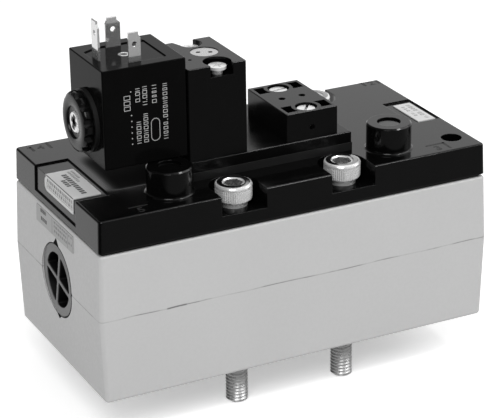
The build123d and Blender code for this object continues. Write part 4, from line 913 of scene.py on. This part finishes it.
def placeMarks(piece, thickness, corner, place, across, axis):
    if corner > 0:
        bpy.ops.mesh.select_all(action="SELECT")
        bpy.ops.mesh.bevel(affect="VERTICES", offset=corner * mm, segments=2)
    thicken(thickness)
    endEdit()
    layAlong(piece, place, axis, across)


def endMarks(piece, thickness, place, across, axis, finish):
    placeMarks(piece, thickness, 0, place, across, axis)
    finishPiece(piece, finish, "housing")


def endTopMarks(piece, thickness, level, finish):
    endMarks(piece, thickness, (0, 0, level), (1, 0, 0), (0, 0, 1), finish)


def addRow(start, end, low, high, lengths):
    # a row of bars from start to end, whose gaps fill the length that the bars leave
    step = 1 if end > start else -1
    gap = (abs(end - start) - sum(lengths)) / (len(lengths) - 1)
    place = start
    for length in lengths:
        far = place + step * length
        addBar(min(place, far), low, max(place, far), high)
        place += step * (length + gap)


digitShape = {"weight": 0.03, "capHeight": 0.7}     # of the font, per unit of its size


def makeDigit(name, character, place, height, thickness, finish):
    bpy.ops.object.select_all(action="DESELECT")
    bpy.ops.object.text_add(location=(0, 0, 0))
    digit = bpy.context.object
    digit.name = name
    digit.data.body = character
    digit.data.offset = digitShape["weight"]
    digit.data.align_x = "CENTER"
    digit.data.align_y = "CENTER"
    bpy.ops.object.convert(target="MESH")
    size = height / digitShape["capHeight"] * mm
    digit.scale = (size, size, mm)
    applyPlace(digit)
    beginEdit(digit)
    thicken(thickness)
    endEdit()
    digit.location = Vector(place) * mm
    applyPlace(digit)
    finishPiece(digit, finish, "housing")


# Print on the coil's front face: rows of bars and dots that run upward, and one long outline
coilPrint = {
    "place": (0, -20.5, 0),
    "thickness": 0.04,
    "dots": (102.9, 94.6, 92.5, 90.5, 88.4, 86.4, 84.4),
    "dotColumn": -53.6,
    "dotRadius": 0.22,
    "bigMarks": (96.4, 98.3, 100.2),     # levels of their lower ends
    "bigLeft": -56.2,
    "bigRight": -53.9,
    "bigHeight": 1.5,
    "stroke": 0.19,
    # (X, low, high, widths of the marks)
    "rows": (
        (-51.2, 98.9, 103.7, (1.2, 0.4, 1.2, 1.0)),
        (-51.1, 84.2, 91.9, (1.1, 1.2, 1.0, 1.3, 1.0)),
        (-48.6, 97.5, 104.0, (1.2, 0.4, 1.2, 1.3, 1.0)),
        (-48.5, 84.2, 94.4, (1.1, 1.2, 1.0, 1.2, 1.0, 1.1, 0.9)),
        (-45.2, 97.6, 103.9, (1.3, 0.7, 0.7, 1.3)),
        (-41.3, 84.2, 103.8, (1.2, 0.9, 1.1, 0.9, 0.5, 1.0, 1.2, 0.9, 0.9, 0.8, 1.1, 0.9, 0.9)),
    ),
    "rowWidth": 1.6,
    "oval": (-46.7, 84.1, -43.4, 92.2),
    "ovalSides": 40,
}


def addHollowMark(x, low, length, width, stroke, kind, short=0.6):
    # kind 1 is two bars, the others are an outline, and a short mark is one small bar
    left = x - width / 2
    right = x + width / 2
    high = low + length
    if length < short:
        addBar(right - stroke, low, right, high)
    elif kind == 1:
        addBar(left, low, right, low + stroke)
        addBar(left, high - stroke, right, high)
    else:
        addFrame(left, low, right, high, stroke)


def addMarkRow(x, low, high, width, stroke, lengths):
    # the marks' kinds follow each other in an order of four, which starts by their number
    gap = (high - low - sum(lengths)) / (len(lengths) - 1)
    level = low
    for count, length in enumerate(lengths):
        addHollowMark(x, level, length, width, stroke, (count * 3 + len(lengths)) % 4)
        level += length + gap


def buildCoilPrint():
    sizes = coilPrint
    piece = beginMarks("coilPrint")
    for level in sizes["dots"]:
        addDot(sizes["dotColumn"], level, sizes["dotRadius"])
    for level in sizes["bigMarks"]:
        addFrame(
            sizes["bigLeft"], level, sizes["bigRight"], level + sizes["bigHeight"], sizes["stroke"]
        )
    for x, low, high, lengths in sizes["rows"]:
        addMarkRow(x, low, high, sizes["rowWidth"], sizes["stroke"], lengths)
    endMarks(piece, sizes["thickness"], sizes["place"], (1, 0, 0), (0, -1, 0), "print_grey")
    left, low, right, high = sizes["oval"]
    radius = (right - left) / 2
    middle = low + radius
    centre = ((left + right) / 2, middle, 0)
    ring = addCircle("coilPrintOval", sizes["ovalSides"], radius, centre)
    applyPlace(ring)
    pickVertices(ring, lambda vertex: vertex.co.y > (middle + tolerance) * mm)
    bpy.ops.transform.translate(value=(0, (high - low - 2 * radius) * mm, 0))
    bpy.ops.mesh.select_all(action="SELECT")
    bpy.ops.mesh.inset(thickness=sizes["stroke"] * mm, depth=0)
    bpy.ops.mesh.delete(type="ONLY_FACE")
    endMarks(ring, sizes["thickness"], sizes["place"], (1, 0, 0), (0, -1, 0), "print_grey")


buildCoilPrint()
print("coil print made")


# The planes of the body's ends, above and below their middle: X at level 0, and how they lean
endFace = {"x": -76.52, "lean": 0.038, "lowerX": -74.30, "lowerLean": -0.034}


def onLeftFace(piece, thickness, corner, outward):
    place = (endFace["x"] - outward, 0, 0)
    placeMarks(piece, thickness, corner, place, (0, -1, 0), (-1, 0, endFace["lean"]))


# Type label: a plate on the top and one on the left face, with a black strip of painted shade
# along the fold between them
typeLabel = {
    "thickness": 0.35,
    "back": 10.0,
    "front": -15.0,
    "topLeft": -73.70,
    "topRight": -63.3,
    "topLevel": 66.2,
    "corner": 0.25,
    "faceSunk": 0.6,
    "faceLow": 61.0,
    "faceHigh": 66.42,
    "faceBack": 10.4,
    "faceRound": 2.4,
    "roundSteps": 8,
    "foldShade": (-73.78, -15.0, -73.46, 9.6),
    "printThickness": 0.03,
    # (X, low Y, high Y, width, stroke, lengths)
    "bold": (
        (-68.35, -12.3, 6.4, 1.9, 0.56, (1.1, 1.2, 1.2, 1.1, 1.3, 1.1, 1.3, 1.2, 1.1, 1.2, 1.3)),
        (-70.50, -4.3, 1.8, 1.6, 0.50, (1.1, 1.2, 1.1, 1.2)),
    ),
    "small": (
        (-66.0, -1.8, 8.1, 0.9, 0.26, (0.7, 0.7, 0.8, 0.7, 0.7, 0.9, 0.7, 0.8)),
        (-64.7, 1.2, 8.3, 0.8, 0.24, (0.7, 0.7, 0.8, 0.7, 0.7, 0.7)),
    ),
    # (start, end, low, high, lengths) on the face, from the rear end to the front one
    "faceRows": (
        (
            -8.0, 14.2, 64.55, 65.75,
            (1.0, 0.7, 1.2, 0.9, 1.4, 0.8, 1.1, 1.6, 0.7, 1.0, 1.3, 0.9, 1.0, 0.8),
        ),
        (
            -7.6, 14.0, 62.75, 63.75,
            (0.8, 1.2, 0.6, 1.0, 1.5, 0.8, 0.9, 1.3, 0.7, 1.0, 0.8, 1.4, 0.8),
        ),
    ),
    "faceFrame": (-8.6, 62.2, 14.5, 64.15, 0.16),
}


def buildTypeLabel():
    sizes = typeLabel
    top = beginMarks("typeLabelTop")
    addBar(sizes["topLeft"], sizes["front"], sizes["topRight"], sizes["back"])
    placeMarks(
        top, sizes["thickness"], sizes["corner"], (0, 0, sizes["topLevel"]), (1, 0, 0), (0, 0, 1)
    )
    face = beginMarks("typeLabelFace")
    addBar(-sizes["faceBack"], sizes["faceLow"], -sizes["front"], sizes["faceHigh"])
    endEdit()
    pickVertices(face, lambda vertex: vertex.co.x < 0)
    bpy.ops.mesh.bevel(
        affect="VERTICES", offset=sizes["faceRound"] * mm, segments=sizes["roundSteps"]
    )
    onLeftFace(face, sizes["thickness"], 0, -sizes["faceSunk"])
    label = joinPieces([top, face], "typeLabel")
    finishPiece(label, "label_white", "housing", "type_label")
    above = sizes["topLevel"] + sizes["thickness"]
    for name, rows, finish in (
        ("typeLabelBold", sizes["bold"], "print_black"),
        ("typeLabelSmall", sizes["small"], "print_slate"),
    ):
        piece = beginMarks(name)
        for x, low, high, width, stroke, lengths in rows:
            addMarkRow(x, low, high, width, stroke, lengths)
        # the black strip along the fold is painted shade, laid with the bold print
        if finish == "print_black":
            addBar(*sizes["foldShade"])
        endTopMarks(piece, sizes["printThickness"], above, finish)
    piece = beginMarks("typeLabelFacePrint")
    for start, end, low, high, lengths in sizes["faceRows"]:
        addRow(start, end, low, high, lengths)
    addFrame(*sizes["faceFrame"])
    onLeftFace(piece, sizes["printThickness"], 0, sizes["thickness"] - sizes["faceSunk"])
    finishPiece(piece, "print_slate", "housing")


buildTypeLabel()
print("type label made")

# Rating label: print on the grey label of the body's left end
ratingLabel = {
    "outward": 0.3,
    "printThickness": 0.03,
    "boldCorner": 0.1,
    # (start, end, low, high, lengths), from the rear end to the front one
    "bold": (
        (-13.3, -8.5, 51.6, 53.0, (1.2, 0.8, 1.1, 0.8)),
        (-13.0, -7.7, 48.7, 50.1, (1.0, 1.1, 0.7, 1.2)),
    ),
    "fine": (
        (-1.0, 10.6, 52.0, 52.7, (1.4, 0.7, 1.0, 1.6, 0.8, 1.2, 0.9)),
        (-1.0, 10.2, 50.4, 51.2, (0.7, 1.6, 0.9, 1.1, 0.7, 1.3, 0.8)),
        (-0.8, 10.6, 48.7, 49.6, (1.1, 0.8, 1.5, 0.7, 1.2, 0.8, 1.0)),
        (12.2, 15.0, 52.0, 52.7, (0.8, 0.9)),
        (12.2, 15.0, 49.3, 50.1, (1.0, 0.7)),
    ),
    "lines": ((-2.85, 47.4, -2.6, 53.2), (11.3, 47.4, 11.5, 53.2)),
}


def buildRatingPrint():
    sizes = ratingLabel
    bold = beginMarks("ratingPrintBold")
    for start, end, low, high, lengths in sizes["bold"]:
        addRow(start, end, low, high, lengths)
    onLeftFace(bold, sizes["printThickness"], sizes["boldCorner"], sizes["outward"])
    finishPiece(bold, "print_black", "housing")
    fine = beginMarks("ratingPrintFine")
    for start, end, low, high, lengths in sizes["fine"]:
        addRow(start, end, low, high, lengths)
    for line in sizes["lines"]:
        addBar(*line)
    onLeftFace(fine, sizes["printThickness"], 0, sizes["outward"])
    finishPiece(fine, "print_slate", "housing")


buildRatingPrint()
print("rating print made")

# Flow label: two columns of marks on the white label near the right end
flowPrint = {
    "level": 66.55,
    "thickness": 0.03,
    "stroke": 0.24,
    # (X, low Y, high Y, width, lengths)
    "rows": (
        (69.9, -5.8, 8.8, 1.5, (1.2, 0.5, 1.2, 1.0, 0.5, 1.1, 0.9, 1.2, 1.0)),
        (67.3, -2.2, 7.8, 1.2, (0.9, 1.0, 0.5, 1.1, 0.9, 0.8)),
    ),
}


def buildFlowPrint():
    sizes = flowPrint
    piece = beginMarks("flowPrint")
    for x, low, high, width, lengths in sizes["rows"]:
        addMarkRow(x, low, high, width, sizes["stroke"], lengths)
    endTopMarks(piece, sizes["thickness"], sizes["level"], "print_slate")


buildFlowPrint()
print("flow print made")

# Strokes and plain digits near the cover's corners, laid on it as thin marks
coverMarks = {
    "level": 66.8,
    "thickness": 0.03,
    # (left, low, right, high)
    "bars": (
        (-60.7, -32.1, -53.7, -31.2),
        (-70.6, 34.6, -69.0, 35.4), (-69.8, 31.2, -68.8, 35.4), (-63.2, 31.2, -62.2, 37.0),
        (65.4, 36.8, 67.1, 37.5), (66.0, 33.7, 67.0, 37.5), (72.2, 33.7, 73.2, 37.5),
        (54.2, -31.0, 61.8, -30.1), (60.9, -36.0, 61.8, -30.1),
    ),
    # (number, X, Y, height)
    "digits": (
        ("5", -57.4, -34.8, 3.6), ("4", -66.0, 33.4, 3.4), ("2", 69.6, 35.2, 3.4),
        ("3", 57.2, -34.2, 3.6),
    ),
}


def buildCoverMarks():
    sizes = coverMarks
    piece = beginMarks("coverStrokes")
    for bar in sizes["bars"]:
        addBar(*bar)
    endTopMarks(piece, sizes["thickness"], sizes["level"], "mark_black")
    for character, x, y, height in sizes["digits"]:
        makeDigit(
            "coverNumber" + character, character, (x, y, sizes["level"]), height,
            sizes["thickness"], "mark_black",
        )


buildCoverMarks()
print("cover marks made")

# Painted shade at the body's round mouths: small black wedges for the shadow in the slots at their
# rims, and a thin black crescent for the shadow beside each cap
mouthShadeMarks = {
    "centre": 30.8,
    "radius": 13.1,
    "thickness": 0.02,
    # (turn from the top towards the front, width at the rim, height)
    "shadeWedges": ((0, 5.2, 2.8), (90, 3.0, 1.1), (180, 4.2, 1.8)),
    # the painted shadow along the cap's front side is a crescent
    "gapSides": 96,
    "gapRadius": 13.5,
    "gapWidth": 0.34,
    "gapShift": -0.2,
}


def onEndFace(piece, thickness, sign, upper):
    x = endFace["x"] if upper else endFace["lowerX"]
    lean = endFace["lean"] if upper else endFace["lowerLean"]
    placeMarks(piece, thickness, 0, (-sign * x, 0, 0), (0, sign, 0), (sign, 0, lean))


def buildShadeWedge(side, sign, turn, width, height):
    # a triangle in a circle of radius 1 is sqrt(3) wide and 1.5 high, a third of that below 0
    sizes = mouthShadeMarks
    wedge = beginMarks(side + "Notch" + str(turn))
    middle = (sizes["centre"] + sizes["radius"] + height / 3) * mm
    bpy.ops.mesh.primitive_circle_add(
        vertices=3, radius=mm, location=(0, middle, 0), fill_type="NGON"
    )
    bpy.ops.transform.resize(
        value=(width / math.sqrt(3), height / 1.5, 1), center_override=(0, middle, 0)
    )
    bpy.ops.transform.rotate(
        value=math.radians(turn * -sign), orient_axis="Z",
        center_override=(0, sizes["centre"] * mm, 0),
    )
    atBottom = turn == 180
    onEndFace(wedge, sizes["thickness"], sign, not atBottom)
    return wedge


def buildShadeGap(side, sign, upper):
    # half a crescent of painted shadow, on the upper or the lower face of one end
    sizes = mouthShadeMarks
    name = side + ("Upper" if upper else "Lower") + "Gap"
    shift = sign * sizes["gapShift"]
    ring = addCircle(name, sizes["gapSides"], sizes["gapRadius"], (shift, sizes["centre"], 0))
    applyPlace(ring)
    beginEdit(ring)
    bpy.ops.mesh.select_all(action="SELECT")
    bpy.ops.mesh.inset(thickness=sizes["gapWidth"] * mm, depth=0)
    bpy.ops.transform.translate(value=(-shift * mm, 0, 0))
    bpy.ops.mesh.delete(type="ONLY_FACE")
    bpy.ops.mesh.select_all(action="SELECT")
    bpy.ops.mesh.bisect(
        plane_co=(0, sizes["centre"] * mm, 0), plane_no=(0, 1, 0), use_fill=False,
        clear_inner=upper, clear_outer=not upper,
    )
    onEndFace(ring, sizes["thickness"], sign, upper)
    return ring


def buildMouthShadeMarks():
    marks = []
    for side, sign in (("left", -1), ("right", 1)):
        for turn, width, height in mouthShadeMarks["shadeWedges"]:
            marks.append(buildShadeWedge(side, sign, turn, width, height))
        for upper in (True, False):
            marks.append(buildShadeGap(side, sign, upper))
    finishPiece(joinPieces(marks, "mouthShadeMarks"), "shade_black", "housing")


buildMouthShadeMarks()
print("mouth notches made")

# Painted shade: a black cross laid on the end of the coil's stem, for the dark inside its recess
stemCrossShade = {
    "place": (-68.61, -6.3, 90.2),
    "thickness": 0.02,
    "bars": ((-1.0, -2.7, 1.0, 2.7), (-2.2, -0.8, 2.2, 1.2)),
    "turn": 18,
}


def buildStemCrossShade():
    sizes = stemCrossShade
    piece = beginMarks("stemCrossShade")
    for bar in sizes["bars"]:
        addBar(*bar)
    bpy.ops.mesh.select_all(action="SELECT")
    bpy.ops.transform.rotate(
        value=math.radians(sizes["turn"]), orient_axis="Z", center_override=(0, 0, 0)
    )
    endMarks(piece, sizes["thickness"], sizes["place"], (0, -1, 0), (-1, 0, 0), "mark_black")


buildStemCrossShade()
print("stem cross made")

# Springs, each copied from its own solid in the model
springs = {
    # name: (node, joint, travel, place of its length in X, Y, Z, fixed at its high end)
    "returnSpring": ("return_spring", "spool_slide", 6.0, 0, True),
    "plungerSpring": ("plunger_spring", "plunger_slide", 1.2, 0, False),
    "leftOverrideSpring": ("left_override_spring", "left_override_press", 2.5, 2, False),
    "rightOverrideSpring": ("right_override_spring", "right_override_press", 2.5, 2, False),
}
springSmoothAngle = 40


def buildSprings():
    for name, (node, joint, travel, along, fixedHigh) in springs.items():
        low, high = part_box(node)
        anchor = (low + high) / 2
        anchor[along] = high[along] if fixedHigh else low[along]
        axis = Vector((0, 0, 0))
        axis[along] = 1
        spring = copyPiece(frame["nodes"][node], name)
        finishPiece(spring, "spring_steel", "housing", node, springSmoothAngle)
        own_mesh(spring)


buildSprings()
print("springs made")
